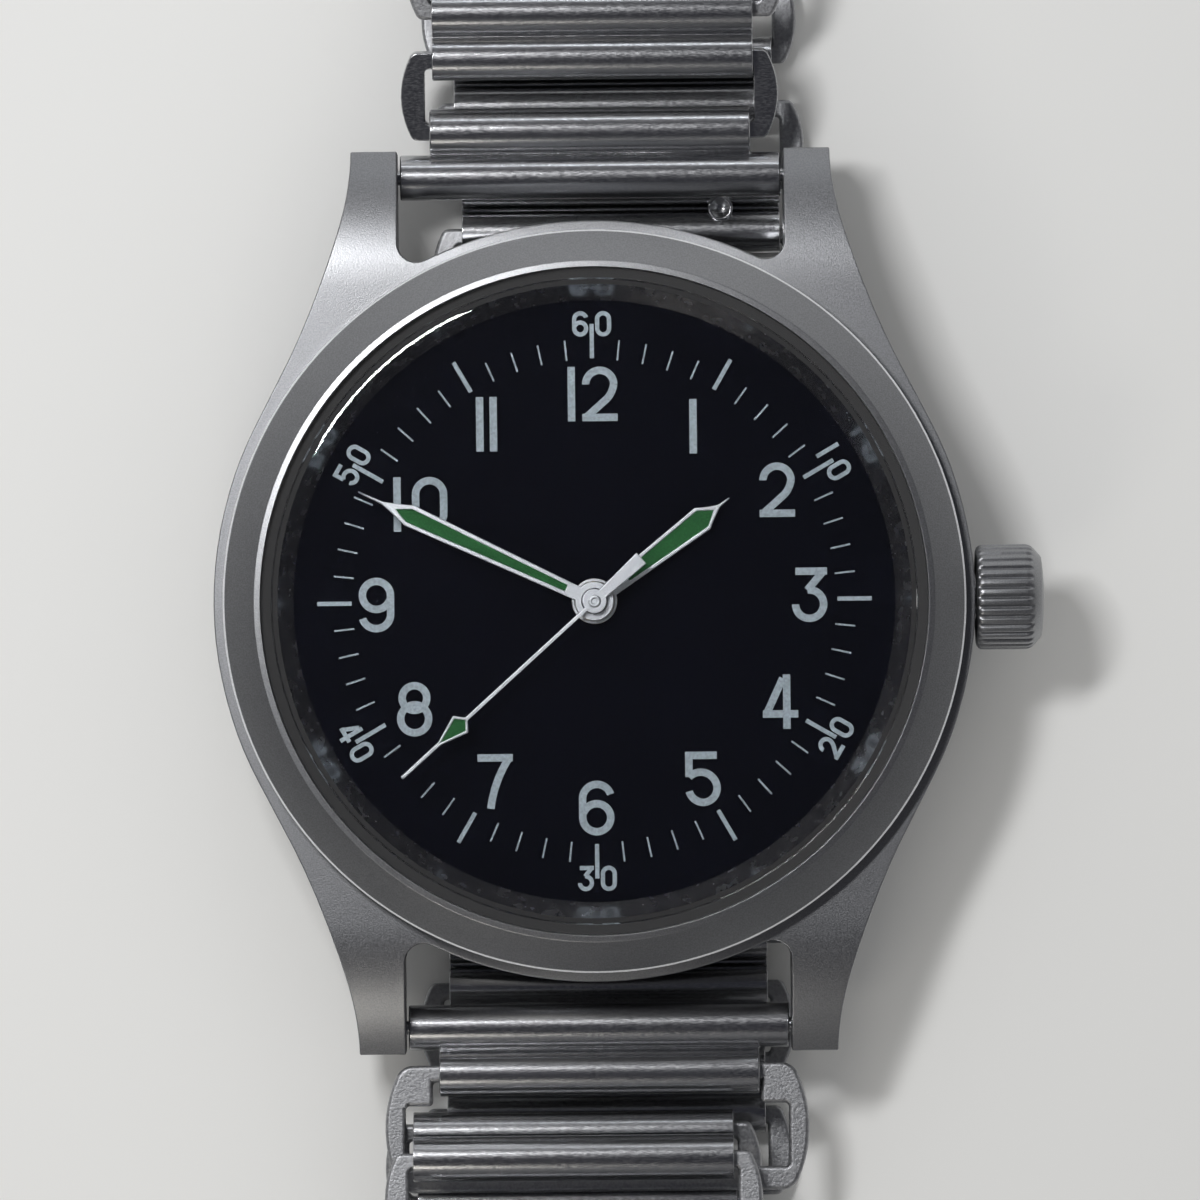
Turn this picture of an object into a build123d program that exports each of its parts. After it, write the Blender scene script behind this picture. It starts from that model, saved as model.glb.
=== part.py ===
from build123d import *
from math import asin, atan2, cos, degrees, radians, sin, sqrt
import os

# A hand-wound field watch on a ladder bracelet, lying flat on a table with the bracelet closed under it.
#
# The origin is on the dial's axis at table height: +X points at the crown, +Y at 12 o'clock and +Z up.
# Lengths are millimetres, angles degrees.

os.makedirs("parts", exist_ok=True)

# Bracelet slats, each a sheet rolled into two tubes side by side
roll_diameter = 2.15
roll_wall = 0.28
roll_pitch = 2.17
slat_width = 15.2
slat_web = 0.5

# Stamped rings that join one slat to the next
ring_span = 3.46
ring_play = 0.2
ring_arm = 1.15
ring_opening = slat_width + 2 * ring_play
ring_width = ring_opening + 2 * ring_arm
ring_bar = 0.8
ring_plate = 0.6
ring_bow = 0.58
ring_corner = 0.4
ring_inner_corner = 0.2

# A taut ring draws its bar off the middle of the roll, and each piece slides a little along X
roll_pull = 0.19
drift_step = 0.16

# End links, wide where they turn round the spring bars
end_roll_gap = 0.125
end_pitch = 2.2
end_rise = 8
end_fall = 4

# Clasp ring at 6 o'clock, and the slat folded through it
clasp_play = 1.5
clasp_arm = 0.975
clasp_opening = slat_width + 2 * clasp_play
clasp_width = clasp_opening + 2 * clasp_arm
clasp_span = 5.1
clasp_bar = 1.13
clasp_top_bar = 0.8
clasp_plate = 0.6
clasp_bow = 0.8
clasp_corner = 0.9
clasp_shoulder = 1.53
clasp_drift = -0.12
fold_back_share = 0.43
fold_drift = -1.27
fold_pull = 0.2
fold_gap = 0.12
fold_tilt = 120

# Clip that holds the folded end down
clip_inset = 0.5
clip_width = slat_width - 2 * clip_inset
clip_plate = 0.45
clip_slope = 4
clip_shank = 1.6
clip_gap = 0.14

# Route of the bracelet
top_turn_lean = 6
bottom_turn_lean = 4.5
rear_links_each_side = 6
rear_drift_shares = [5, 7, 9, 8, 7, 6, 5, 4, 3, 2, 1, -1, -3]
table_gap = 0.2

# Case
case_radius = 18
case_height = 5.1
lug_gap = 18.3
lug_end_wall = 1.2
lug_tip_width = 2.2
lug_tip_height = 3.1
lug_drop = 1.9
lug_blend_angle = 14.2
lug_corner = 0.9
lug_flat = 3
spring_bar_offset = 2.2
spring_bar_height = 1.5
spring_bar_radius = 0.62
spring_bar_gap = 0.15
spring_tip_radius = 0.35
spring_tip_length = 1.0
lug_hole_depth = 1.2
spring_bar_reach = case_radius + spring_bar_offset
lug_reach = spring_bar_reach + lug_end_wall
lug_curve_start = case_radius - lug_flat
end_roll_width = lug_gap - 2 * end_roll_gap
flank_shares = [(0.16, 0.29), (0.475, 0.57), (0.79, 0.79)]

# Case back
back_margin = 1.8
back_flange = 1.0
back_floor = 0.9
back_proud = 0.75
back_thread_height = 0.9
back_wall = 0.9
back_edge = 0.4
back_slot_width = 2.2
back_slot_depth = 0.35
back_slots = 6
back_seal_width = 0.6
back_seal_height = 0.35
back_seal_inset = 0.45
back_radius = case_radius - back_margin
back_thread_radius = back_radius - back_flange
back_seal_radius = back_thread_radius + back_seal_inset

# Bezel and crystal
bezel_step = 0.45
bezel_width = 1.45
bezel_lip = 0.75
bezel_height = 2.0
bezel_skirt = 0.55
bezel_bevel = 0.35
bezel_edge = 0.18
bezel_shelf_height = 0.85
crystal_clearance = 0.04
crystal_edge_height = 1.35
crystal_step = 0.5
crystal_dome = 1.0
crystal_thickness = 1.3
seal_height = 0.2
bezel_radius = case_radius - bezel_step
bezel_inner_radius = bezel_radius - bezel_width
bezel_shelf = bezel_inner_radius - bezel_lip

# Dial and dial ring
dial_seat_step = 0.05
dial_clearance = 0.2
dial_ledge = 2.0
dial_thickness = 0.4
dial_hole_radius = 1.08
dial_ring_foot = 1.15
dial_ring_lip = 0.35
dial_ring_gap = 0.06
print_thickness = 0.03
dial_seat_radius = bezel_shelf - dial_seat_step
dial_radius = dial_seat_radius - dial_clearance
dial_edge_radius = dial_seat_radius - dial_ring_foot
dial_ring_top_radius = dial_seat_radius - dial_ring_lip
bore_radius = dial_seat_radius - dial_ledge

# Printed scale
minute_number_margin = 1.08
minute_tick_gap = 0.72
minute_tick_length = 0.95
minute_tick_width = 0.085
hour_tick_length = 1.62
hour_tick_width = 0.2
minute_number_radius = dial_edge_radius - minute_number_margin
minute_tick_end = minute_number_radius - minute_tick_gap
minute_tick_start = minute_tick_end - minute_tick_length
hour_tick_end = minute_number_radius
hour_tick_start = hour_tick_end - hour_tick_length
minute_number_height = 0.99
minute_digit_width = 0.56
minute_stroke = 0.2
minute_digit_spacing = 1.08
hour_number_height = 2.22
hour_digit_width = 1.32
hour_stroke = 0.35
bowl_arc = 160
ten_bar_offset = 1.0
ten_zero_offset = 0.53
twelve_bar_offset = 0.99
twelve_two_offset = 0.35
eleven_bar_offset = 0.32
hour_number_inset = 3.27
hour_number_radius = minute_number_radius - hour_number_inset
hour_number_shares = [
    (0.966, 30, "1"),
    (1.029, 59.2, "2"),
    (1.035, 88.9, "3"),
    (1.017, 119, "4"),
    (1.002, 149.2, "5"),
    (0.996, 180, "6"),
    (0.99, 209.4, "7"),
    (1.01, 239.6, "8"),
    (1.049, 269.6, "9"),
    (0.967, 299.4, "10"),
    (0.997, 329.2, "11"),
    (0.997, 0, "12"),
]

# Hands
hand_thickness = 0.15
hand_step = 0.42
hour_hand_height = 0.45
hour_hand_angle = 53.2
hour_hand_gap = 1.8
hour_point = 1.6
hour_needle = 0.6
hour_lume_point = 0.66
hour_boss_radius = 1.07
hour_base_width = 0.68
hour_shoulder_width = 1.25
hour_lume_start = 1.9
hour_rail = 0.18
hour_hand_length = hour_number_radius - hour_hand_gap
hour_shoulder = hour_hand_length - hour_point
hour_needle_start = hour_hand_length - hour_needle
hour_lume_end = hour_shoulder + hour_lume_point
minute_hand_angle = 295.4
minute_hand_gap = 0.1
minute_point = 2.65
minute_needle = 1.25
minute_lume_point = 0.7
minute_boss_radius = 0.92
minute_base_width = 0.63
minute_shoulder_width = 1.06
minute_lume_start = 1.47
minute_rail = 0.2
minute_hand_length = minute_tick_end - minute_hand_gap
minute_shoulder = minute_hand_length - minute_point
minute_needle_start = minute_hand_length - minute_needle
minute_lume_end = minute_shoulder + minute_lume_point
needle_width = 0.14
blade_hollow_share = 0.92
second_hand_angle = 228
second_hand_gap = 0.05
second_hub_radius = 0.58
second_needle_width = 0.18
second_lozenge_inset = 4.2
second_lozenge_rise = 0.45
second_lozenge_length = 2.05
second_lozenge_width = 1.08
second_rail = 0.16
second_tail_length = 3.0
second_tail_root = 0.43
second_tail_width = 0.7
second_pin_radius = 0.27
second_pin_height = 0.12
second_pin_hole = 0.14
second_hand_length = minute_tick_end - second_hand_gap
second_lozenge_start = second_hand_length - second_lozenge_inset
second_lozenge_shoulder = second_lozenge_start + second_lozenge_rise
second_lozenge_end = second_lozenge_start + second_lozenge_length
lume_thickness = 0.1

# Crown, stem and tube
crown_radius = 2.5
crown_length = 3.33
crown_gap = 0.06
crown_flutes = 32
crown_flute_radius = 0.17
crown_chamfer = 0.4
crown_knurl_length = 2.85
crown_bore = 1.75
crown_bore_depth = 1.9
tube_radius = 1.1
tube_bore = 0.7
tube_reach = 0.6
stem_radius = 0.5
stem_square = 0.5
winding_pinion_radius = 1.05
winding_pinion_length = 1.4
winding_teeth = 16
fit = 0.02

# Movement, levels and plates
movement_gap = 0.2
bridge_thickness = 0.5
wheel_thickness = 0.15
level_gap = 0.15
fourth_level_gap = 0.2
third_level_gap = 0.25
barrel_teeth_height = 0.25
barrel_height = 0.95
plate_clearance = 0.1
plate_thickness = 1.1
motion_height = 0.6
plate_play = 0.2
plate_rim = 1.5
bridge_inset = 0.3
stem_inset = 2.9
stem_nose = 0.6
plate_radius = bore_radius - plate_play
plate_recess_radius = plate_radius - plate_rim
bridge_radius = plate_radius - bridge_inset
stem_end = plate_radius - stem_inset
winding_pinion_start = stem_end + stem_nose
pillar_share = 0.0763
pillar_radius = plate_radius * pillar_share
pivot_radius = 0.12
arbor_radius = 0.22
end_shake = 0.02

# Gear train, sized as shares of the plate that carries it
train_module_share = 0.0084
barrel_module_share = 0.01145
ratchet_share = 0.2519
train_module = plate_radius * train_module_share
fourth_module = train_module
barrel_module = plate_radius * barrel_module_share
ratchet_radius = plate_radius * ratchet_share
motion_module = 0.1
barrel_teeth = 76
centre_pinion_teeth = 12
centre_teeth = 80
third_pinion_teeth = 10
third_teeth = 75
fourth_pinion_teeth = 10
fourth_teeth = 80
escape_pinion_teeth = 8
escape_pinion_height = 0.5
escape_teeth = 15
cannon_teeth = 12
minute_wheel_teeth = 36
minute_pinion_teeth = 10
hour_wheel_teeth = 40
ratchet_teeth = 50
ratchet_thickness = 0.2
tooth_share = 0.42
tooth_tip_share = 0.2
tooth_play = 0.03
rim_share = 0.84
spoke_width = 0.42
wheel_hub_radius = 0.75
motion_level = 0.28
barrel_wall = 0.15
escape_turn = 19.5
escape_tooth_shares = (0.1, 0.0, 0.09)
train_spokes = 5
fourth_spokes = 4
escape_spokes = 4
barrel_angle = 60
third_angle = 200
escape_angle = 270
minute_wheel_angle = 30
seconds_arbor_radius = 0.16
centre_tube_radius = 0.38
centre_tube_bore = 0.2
cannon_radius = 0.6
hour_tube_bore = 0.66
hour_tube_radius = 0.92
bridge_cut_angle = 190
bridge_cut_radius = 1.6
pillar_shares = [(-0.33, 0.64), (0.78, -0.23), (-0.57, -0.64)]

# Escapement and balance, also shares of the plate
escape_share = 0.1603
escape_root_share = 0.126
pallet_distance_share = 0.1985
pallet_arm_width_share = 0.0244
pallet_arm_share = 0.1183
pallet_stone_share = 0.0183
pallet_tail_share = 0.1794
pallet_bridge_share = 0.145
balance_distance_share = 0.2519
balance_share = 0.2672
impulse_share = 0.0573
escape_radius = plate_radius * escape_share
escape_root_radius = plate_radius * escape_root_share
pallet_distance = plate_radius * pallet_distance_share
pallet_arm_width = plate_radius * pallet_arm_width_share
pallet_arm_length = plate_radius * pallet_arm_share
pallet_stone_width = plate_radius * pallet_stone_share
pallet_tail_length = plate_radius * pallet_tail_share
pallet_bridge_reach = plate_radius * pallet_bridge_share
balance_distance = plate_radius * balance_distance_share
balance_radius = plate_radius * balance_share
impulse_offset = plate_radius * impulse_share
pallet_angle = -30
pallet_thickness = 0.22
pallet_arm_spread = 62
pallet_slot_width = 0.26
pallet_slot_length = 0.42
balance_rim_width = 0.45
balance_thickness = 0.25
balance_arm_width = 0.5
balance_level = 0.3
roller_radius = 0.62
roller_thickness = 0.12
roller_drop = 0.4
impulse_radius = 0.1
cock_width = 2.6
cock_foot_share = (-0.09, -0.85)
cock_gap = 0.25
pallet_bridge_width = 1.3
pallet_bridge_angle = 30
pallet_bridge_thickness = 0.4
spring_coils = 6
spring_inner_radius = 0.45
spring_coil_gap = 0.19
spring_strip = 0.05
spring_height = 0.12
overrun = 1


def step(point, angle, span):
    """The point a span away in the YZ plane, at an angle from +Y toward +Z."""
    return (
        point[0] + span * cos(radians(angle)),
        point[1] + span * sin(radians(angle)),
    )


def angle_between(start, end):
    """The angle of the line from start to end in the YZ plane."""
    return degrees(atan2(end[1] - start[1], end[0] - start[0]))


def dome_point(radius, rise, place):
    """The height of a dome of this radius and rise, at a place between its axis and its edge."""
    ball = (radius**2 + rise**2) / (2 * rise)
    return rise - ball + sqrt(ball**2 - place**2)


def link_plane(point, angle, x=0):
    """A plane at a point of the route, its X along the bracelet and its Y across it."""
    y, z = point
    turn = radians(angle)
    return Plane(origin=(x, y, z), x_dir=(0, cos(turn), sin(turn)), z_dir=(0, -sin(turn), cos(turn)))


def side_plane(point, angle, x=0):
    """A plane across the bracelet's width, its X along the bracelet and its normal along +X."""
    y, z = point
    turn = radians(angle)
    return Plane(origin=(x, y, z), x_dir=(0, cos(turn), sin(turn)), z_dir=(1, 0, 0))


# Levels above the table
roll_radius = roll_diameter / 2
roll_bore = roll_radius - roll_wall
back_z = roll_diameter + table_gap
case_z = back_z + back_proud
case_top = case_z + case_height
spring_bar_z = case_z + spring_bar_height
bridge_z = back_z + back_floor + movement_gap
bridge_top = bridge_z + bridge_thickness
fourth_z = bridge_top + level_gap
third_z = fourth_z + wheel_thickness + fourth_level_gap
centre_z = third_z + wheel_thickness + third_level_gap
barrel_z = centre_z + wheel_thickness + level_gap
plate_z = barrel_z + barrel_teeth_height + plate_clearance
plate_top = plate_z + plate_thickness
dial_z = plate_top + motion_height
dial_top = dial_z + dial_thickness
escape_z = centre_z + wheel_thickness + level_gap
balance_z = bridge_top + balance_level
crown_z = plate_z + plate_thickness / 2
hour_hand_z = dial_top + hour_hand_height
minute_hand_z = hour_hand_z + hand_step
second_hand_z = minute_hand_z + hand_step

# The bracelet's route from the 12 o'clock spring bar round to the rear
taut_pitch = roll_pitch + 2 * roll_pull
half_taut_pitch = roll_pitch + roll_pull
top_bar = (spring_bar_reach, spring_bar_z)
top_end = step(top_bar, end_rise, end_pitch)
turn_top_z = roll_radius + (ring_span + taut_pitch) * cos(radians(top_turn_lean))
front_length = 2 * ring_span + half_taut_pitch
front_rise = degrees(asin((turn_top_z - top_end[1]) / front_length))
top_front = step(top_end, front_rise, ring_span)
top_front_end = step(top_front, front_rise, half_taut_pitch)
top_turn = step(top_front_end, front_rise, ring_span)
top_turn_middle = step(top_turn, top_turn_lean - 90, taut_pitch)
rear_start = step(top_turn_middle, top_turn_lean - 90, ring_span)

# The clasp and the fold at 6 o'clock
bottom_bar = (-spring_bar_reach, spring_bar_z)
bottom_end = step(bottom_bar, 180 - end_fall, end_pitch)
clasp_end = step(bottom_end, 180 - end_fall / 2, clasp_span)
fold_low = (
    clasp_end[0] + fold_back_share * clasp_span,
    clasp_end[1] - clasp_plate - fold_gap + fold_pull,
)
fold_high = step(fold_low, fold_tilt, roll_pitch)
fold_low_bar = step(fold_low, fold_tilt - 180, fold_pull)
fold_high_bar = step(fold_high, fold_tilt, fold_pull)
fold_ring_angle = 180 + end_fall * 2
first_return = step(fold_low_bar, fold_ring_angle, ring_span)
return_length = 2 * (roll_pitch + ring_span)
bottom_turn_z = roll_radius + taut_pitch * cos(radians(bottom_turn_lean))
return_angle = 180 + degrees(asin((first_return[1] - bottom_turn_z) / return_length))
bottom_turn = step(first_return, return_angle, return_length)
return_bars = [first_return]
for span in (roll_pitch, ring_span, roll_pitch, ring_span):
    return_bars.append(step(return_bars[-1], return_angle, span))
clip_bar = step(fold_high_bar, 180 - clip_slope, ring_span)

# The rear run lies between the two turns, and its rings take up the length that its slats leave
rear_end = step(bottom_turn, -90 - bottom_turn_lean, taut_pitch)
rear_pitch = (rear_start[0] - rear_end[0]) / (2 * rear_links_each_side)
rear_ring_span = rear_pitch - taut_pitch
rear_bars = [step(rear_start, 180, rear_pitch * k) for k in range(2 * rear_links_each_side + 1)]


def ring_blank(start, stop, width, bow, corner):
    """The outer shape of a stamped ring from start to stop along the route, its sides bowed out."""
    middle = (start + stop) / 2
    reach = width / 2
    with BuildSketch() as blank:
        with BuildLine():
            first_bar = Line((start, bow - reach), (start, reach - bow))
            side = ThreePointArc(first_bar @ 1, (middle, reach), (stop, reach - bow))
            last_bar = Line(side @ 1, (stop, bow - reach))
            ThreePointArc(last_bar @ 1, (middle, -reach), first_bar @ 0)
        make_face()
        fillet(blank.vertices(), corner)
    return blank.sketch


def plain_ring(point, angle, x, span=ring_span):
    """A flat stamped ring from one bar to the next."""
    with BuildSketch(link_plane(point, angle, x)) as outline:
        add(ring_blank(-ring_bar / 2, span + ring_bar / 2, ring_width, ring_bow, ring_corner))
        with Locations((span / 2, 0)):
            RectangleRounded(span - ring_bar, ring_opening, ring_inner_corner, mode=Mode.SUBTRACT)
    return outline.sketch


def rolled_sheet(first_roll, angle, x, pitch, width):
    """Two tubes side by side, rolled from one sheet, and the web where they touch."""
    with BuildSketch(side_plane(first_roll, angle, x - width / 2)) as section:
        with Locations((0, 0), (pitch, 0)):
            Circle(roll_radius)
        with Locations((pitch / 2, 0)):
            Rectangle(2 * roll_wall, slat_web)
        with Locations((0, 0), (pitch, 0)):
            Circle(roll_bore, mode=Mode.SUBTRACT)
    return section.sketch


def build_link(name, first_bar, slat_angle, slat_span, ring_angle, slat_x, ring_x, span=ring_span):
    """One slat and the ring that follows it along the route."""
    pull = (slat_span - roll_pitch) / 2
    first_roll = step(first_bar, slat_angle, pull)
    ring_bar_place = step(first_bar, slat_angle, slat_span)
    with BuildPart() as link:
        extrude(rolled_sheet(first_roll, slat_angle, slat_x, roll_pitch, slat_width), amount=slat_width)
        extrude(plain_ring(ring_bar_place, ring_angle, ring_x, span), amount=ring_plate / 2, both=True)
    link.part.label = name
    export_step(link.part, f"parts/{name}.step")


# Mid case: a ring with four lugs that thin and turn down toward their tips
lug_tip_x = lug_gap / 2 + lug_tip_width
blend_x = case_radius * cos(radians(lug_blend_angle))
blend_y = case_radius * sin(radians(lug_blend_angle))
flank = [
    (
        lug_tip_x + (blend_x - lug_tip_x) * across,
        lug_reach - (lug_reach - blend_y) * along,
    )
    for across, along in flank_shares
]
gap_floor_y = sqrt(case_radius**2 - (lug_gap / 2) ** 2)
stem_x = bore_radius - overrun
with BuildPart() as mid_case:
    with BuildSketch(Plane.XY.offset(case_z)) as plan:
        with BuildLine() as lug_line:
            tip = Line((lug_gap / 2, blend_y), (lug_gap / 2, lug_reach))
            end = Line(tip @ 1, (lug_tip_x, lug_reach))
            side = Spline(
                (lug_tip_x, lug_reach),
                *flank,
                (blend_x, blend_y),
                tangents=((0, -1), (blend_y, -blend_x)),
            )
            Line(side @ 1, tip @ 0)
        make_face()
        mirror(about=Plane.XZ)
        mirror(about=Plane.YZ)
        Circle(case_radius)
        gap_corners = plan.vertices().filter_by(
            lambda v: abs(abs(v.X) - lug_gap / 2) < fit and abs(abs(v.Y) - gap_floor_y) < fit
        )
        fillet(gap_corners, lug_corner)
    extrude(amount=case_height)
    with BuildSketch(Plane.YZ) as side_profile:
        with BuildLine() as outline:
            tip_top = case_top - lug_drop
            top = Line((0, case_top), (lug_curve_start, case_top))
            turn_down = TangentArc(top @ 1, (lug_reach, tip_top), tangent=(1, 0))
            face = Line(turn_down @ 1, (lug_reach, tip_top - lug_tip_height))
            bottom = Line(face @ 1, (lug_curve_start, case_z))
            Polyline(bottom @ 1, (0, case_z), (0, case_top))
        make_face()
        mirror(about=Plane.YZ)
    extrude(amount=case_radius + overrun, both=True, mode=Mode.INTERSECT)
    with BuildSketch(Plane.XY.offset(case_z)):
        Circle(bore_radius)
    extrude(amount=case_height, mode=Mode.SUBTRACT)
    with BuildSketch(Plane.XY.offset(dial_z)):
        Circle(dial_seat_radius)
    extrude(amount=case_top - dial_z, mode=Mode.SUBTRACT)
    with BuildSketch(Plane.XY.offset(case_z)):
        Circle(back_thread_radius)
    extrude(amount=back_thread_height, mode=Mode.SUBTRACT)
    with BuildSketch(Plane.YZ.offset(stem_x)):
        with Locations((0, crown_z)):
            Circle(tube_radius)
    extrude(amount=case_radius, mode=Mode.SUBTRACT)
    for bar in (top_bar, bottom_bar):
        with BuildSketch(Plane.YZ):
            with Locations(bar):
                Circle(spring_tip_radius + fit)
        extrude(amount=lug_gap / 2 + lug_hole_depth, both=True, mode=Mode.SUBTRACT)
mid_case.part.label = "mid_case"
export_step(mid_case.part, "parts/mid_case.step")


# Case back: a screwed lid with a thread that holds it, key slots and a groove for its seal
with BuildPart() as case_back:
    with BuildSketch(Plane.XY.offset(back_z)):
        Circle(back_radius)
    extrude(amount=back_proud)
    chamfer(case_back.edges().group_by(Axis.Z)[0], back_edge)
    with BuildSketch(Plane.XY.offset(back_z)):
        Circle(back_thread_radius - fit)
    extrude(amount=back_proud + back_thread_height)
    with BuildSketch(Plane.XY.offset(back_z + back_floor)):
        Circle(back_thread_radius - fit - back_wall)
    extrude(amount=back_proud + back_thread_height, mode=Mode.SUBTRACT)
    with BuildSketch(Plane.XY.offset(back_z)):
        with PolarLocations(back_radius, back_slots):
            Rectangle(back_slot_width, back_slot_width)
    extrude(amount=back_slot_depth, mode=Mode.SUBTRACT)
    with BuildSketch(Plane.XY.offset(case_z - back_seal_height)):
        Circle(back_seal_radius + back_seal_width / 2)
        Circle(back_thread_radius - fit, mode=Mode.SUBTRACT)
    extrude(amount=back_seal_height, mode=Mode.SUBTRACT)
case_back.part.label = "case_back"
export_step(case_back.part, "parts/case_back.step")

with BuildPart() as case_back_gasket:
    with BuildSketch(Plane.XY.offset(case_z - back_seal_height)):
        Circle(back_seal_radius + back_seal_width / 2)
        Circle(back_thread_radius, mode=Mode.SUBTRACT)
    extrude(amount=back_seal_height)
case_back_gasket.part.label = "case_back_gasket"
export_step(case_back_gasket.part, "parts/case_back_gasket.step")

# Bezel: a wide sloping ring with a bright bevel inside and out
bezel_top = case_top + bezel_height
seal_z = case_top + bezel_shelf_height
crystal_z = seal_z + seal_height
crystal_seat = bezel_inner_radius - bezel_bevel
with BuildPart() as bezel:
    with BuildSketch(Plane.XZ) as section:
        with BuildLine():
            Polyline(
                (bezel_shelf, case_top),
                (bezel_radius - bezel_edge, case_top),
                (bezel_radius, case_top + bezel_edge),
                (bezel_radius, case_top + bezel_skirt),
                (bezel_inner_radius, bezel_top),
                (crystal_seat, bezel_top - bezel_bevel),
                (crystal_seat, seal_z),
                (bezel_shelf, seal_z),
                close=True,
            )
        make_face()
    revolve(axis=Axis.Z)
bezel.part.label = "bezel"
export_step(bezel.part, "parts/bezel.step")

# Crystal: a low clear dome with a stepped edge, on its seal
crystal_radius = crystal_seat - crystal_clearance
crystal_top_edge = crystal_z + crystal_edge_height
with BuildPart() as crystal:
    with BuildSketch(Plane.XZ) as section:
        with BuildLine():
            underside_edge = bezel_shelf - crystal_step
            base = Line((crystal_radius, crystal_z), (underside_edge, crystal_z))
            under_middle = dome_point(underside_edge, crystal_dome, underside_edge / 2)
            under = ThreePointArc(
                base @ 1,
                (underside_edge / 2, crystal_z + under_middle),
                (0, crystal_z + crystal_dome),
            )
            middle = Line(under @ 1, (0, crystal_z + crystal_dome + crystal_thickness))
            rim = crystal_radius - crystal_step
            over_middle = dome_point(rim, crystal_dome + crystal_thickness - crystal_edge_height, rim / 2)
            over = ThreePointArc(
                middle @ 1,
                (rim / 2, crystal_top_edge + over_middle),
                (rim, crystal_top_edge),
            )
            Polyline(
                over @ 1,
                (rim, crystal_top_edge - crystal_step / 2),
                (crystal_radius, crystal_top_edge - crystal_step),
                base @ 0,
            )
        make_face()
    revolve(axis=Axis.Z, revolution_arc=360)
crystal.part.label = "crystal"
export_step(crystal.part, "parts/crystal.step")

with BuildPart() as crystal_gasket:
    with BuildSketch(Plane.XY.offset(seal_z)):
        Circle(crystal_radius)
        Circle(bezel_shelf - crystal_step, mode=Mode.SUBTRACT)
    extrude(amount=seal_height)
crystal_gasket.part.label = "crystal_gasket"
export_step(crystal_gasket.part, "parts/crystal_gasket.step")

# Dial ring: a polished cone from the dial's edge up to the crystal
with BuildPart() as dial_ring:
    with BuildSketch(Plane.XZ) as section:
        with BuildLine():
            ring_top = seal_z - dial_ring_gap
            Polyline(
                (dial_edge_radius, dial_top),
                (dial_seat_radius - fit, dial_top),
                (dial_seat_radius - fit, ring_top),
                (dial_ring_top_radius, ring_top),
                close=True,
            )
        make_face()
    revolve(axis=Axis.Z)
dial_ring.part.label = "dial_ring"
export_step(dial_ring.part, "parts/dial_ring.step")

with BuildPart() as dial:
    with BuildSketch(Plane.XY.offset(dial_z)):
        Circle(dial_radius)
        Circle(dial_hole_radius, mode=Mode.SUBTRACT)
    extrude(amount=dial_thickness)
dial.part.label = "dial"
export_step(dial.part, "parts/dial.step")


def draw_digit(character, width, height, stroke):
    """The middle lines of one digit's strokes, centred on the origin."""
    half = width / 2
    top, low = height / 2, -height / 2
    small = width * 0.44
    square = stroke / 2
    with BuildLine() as strokes:
        if character == "0":
            left = Line((-half, low + half), (-half, top - half))
            ThreePointArc(left @ 1, (0, top), (half, top - half))
            right = Line((half, top - half), (half, low + half))
            ThreePointArc(right @ 1, (0, low), left @ 0)
        elif character == "1":
            Line((0, low - square), (0, top + square))
        elif character == "2":
            hook = ThreePointArc((-half, top - half), (0, top), (half, top - half))
            bend = ThreePointArc(hook @ 1, (half * 0.86, top - half * 1.5), (half * 0.55, top - half * 2))
            Line(bend @ 1, (-half, low))
            Line((-half - square, low), (half + square, low))
        elif character == "3":
            Line((-half, top), (half + square, top))
            slope = Line((half, top), (-half * 0.15, top - height * 0.4))
            ThreePointArc(slope @ 1, (half, low + half), (0, low))
            ThreePointArc((0, low), (-half * 0.75, low + half * 0.32), (-half, low + half))
        elif character == "4":
            bar = Line((half * 0.45, low - square), (half * 0.45, top + square))
            Line((half * 0.45 - square, top), (-half, low + height * 0.24))
            Line((-half - square, low + height * 0.24), (half + square, low + height * 0.24))
        elif character == "5":
            Line((half, top), (-half - square, top))
            side = Line((-half, top), (-half, top - height * 0.46))
            ThreePointArc(side @ 1, (0, top - height * 0.36), (half, low + half))
            ThreePointArc((half, low + half), (half * 0.7, low + half * 0.3), (0, low))
            ThreePointArc((0, low), (-half * 0.7, low + half * 0.3), (-half, low + half * 0.8))
        elif character == "7":
            Line((-half - square, top), (half + square, top))
            ThreePointArc((half, top), (half * 0.1, -height * 0.03), (-half * 0.35, low - square))
        elif character == "8":
            CenterArc((0, low + half), half, 0, 180)
            CenterArc((0, low + half), half, 180, 180)
            CenterArc((0, top - small), small, 0, 180)
            CenterArc((0, top - small), small, 180, 180)
        elif character in "69":
            way, turn = (1, 0) if character == "6" else (-1, 180)
            CenterArc((0, way * (low + half)), half, 180 + turn, 180)
            CenterArc((0, way * (low + half)), half, turn, bowl_arc)
            left = Line((-way * half, way * (low + half)), (-way * half, way * (top - half)))
            ThreePointArc(left @ 1, (-way * half * 0.15, way * top), (way * half, way * (top - half * 0.7)))
    return strokes.line


def trace_digit(character, width, height, stroke):
    """A digit as a flat shape."""
    with BuildSketch() as digit:
        for edge in draw_digit(character, width, height, stroke).edges():
            for face in trace(edge, line_width=stroke, mode=Mode.PRIVATE).faces():
                add(face if face.normal_at().Z > 0 else -face)
    return digit.sketch


def dial_point(radius, clock_angle):
    """A point on the dial at a clockwise angle from 12 o'clock."""
    return (radius * sin(radians(clock_angle)), radius * cos(radians(clock_angle)))


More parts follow.
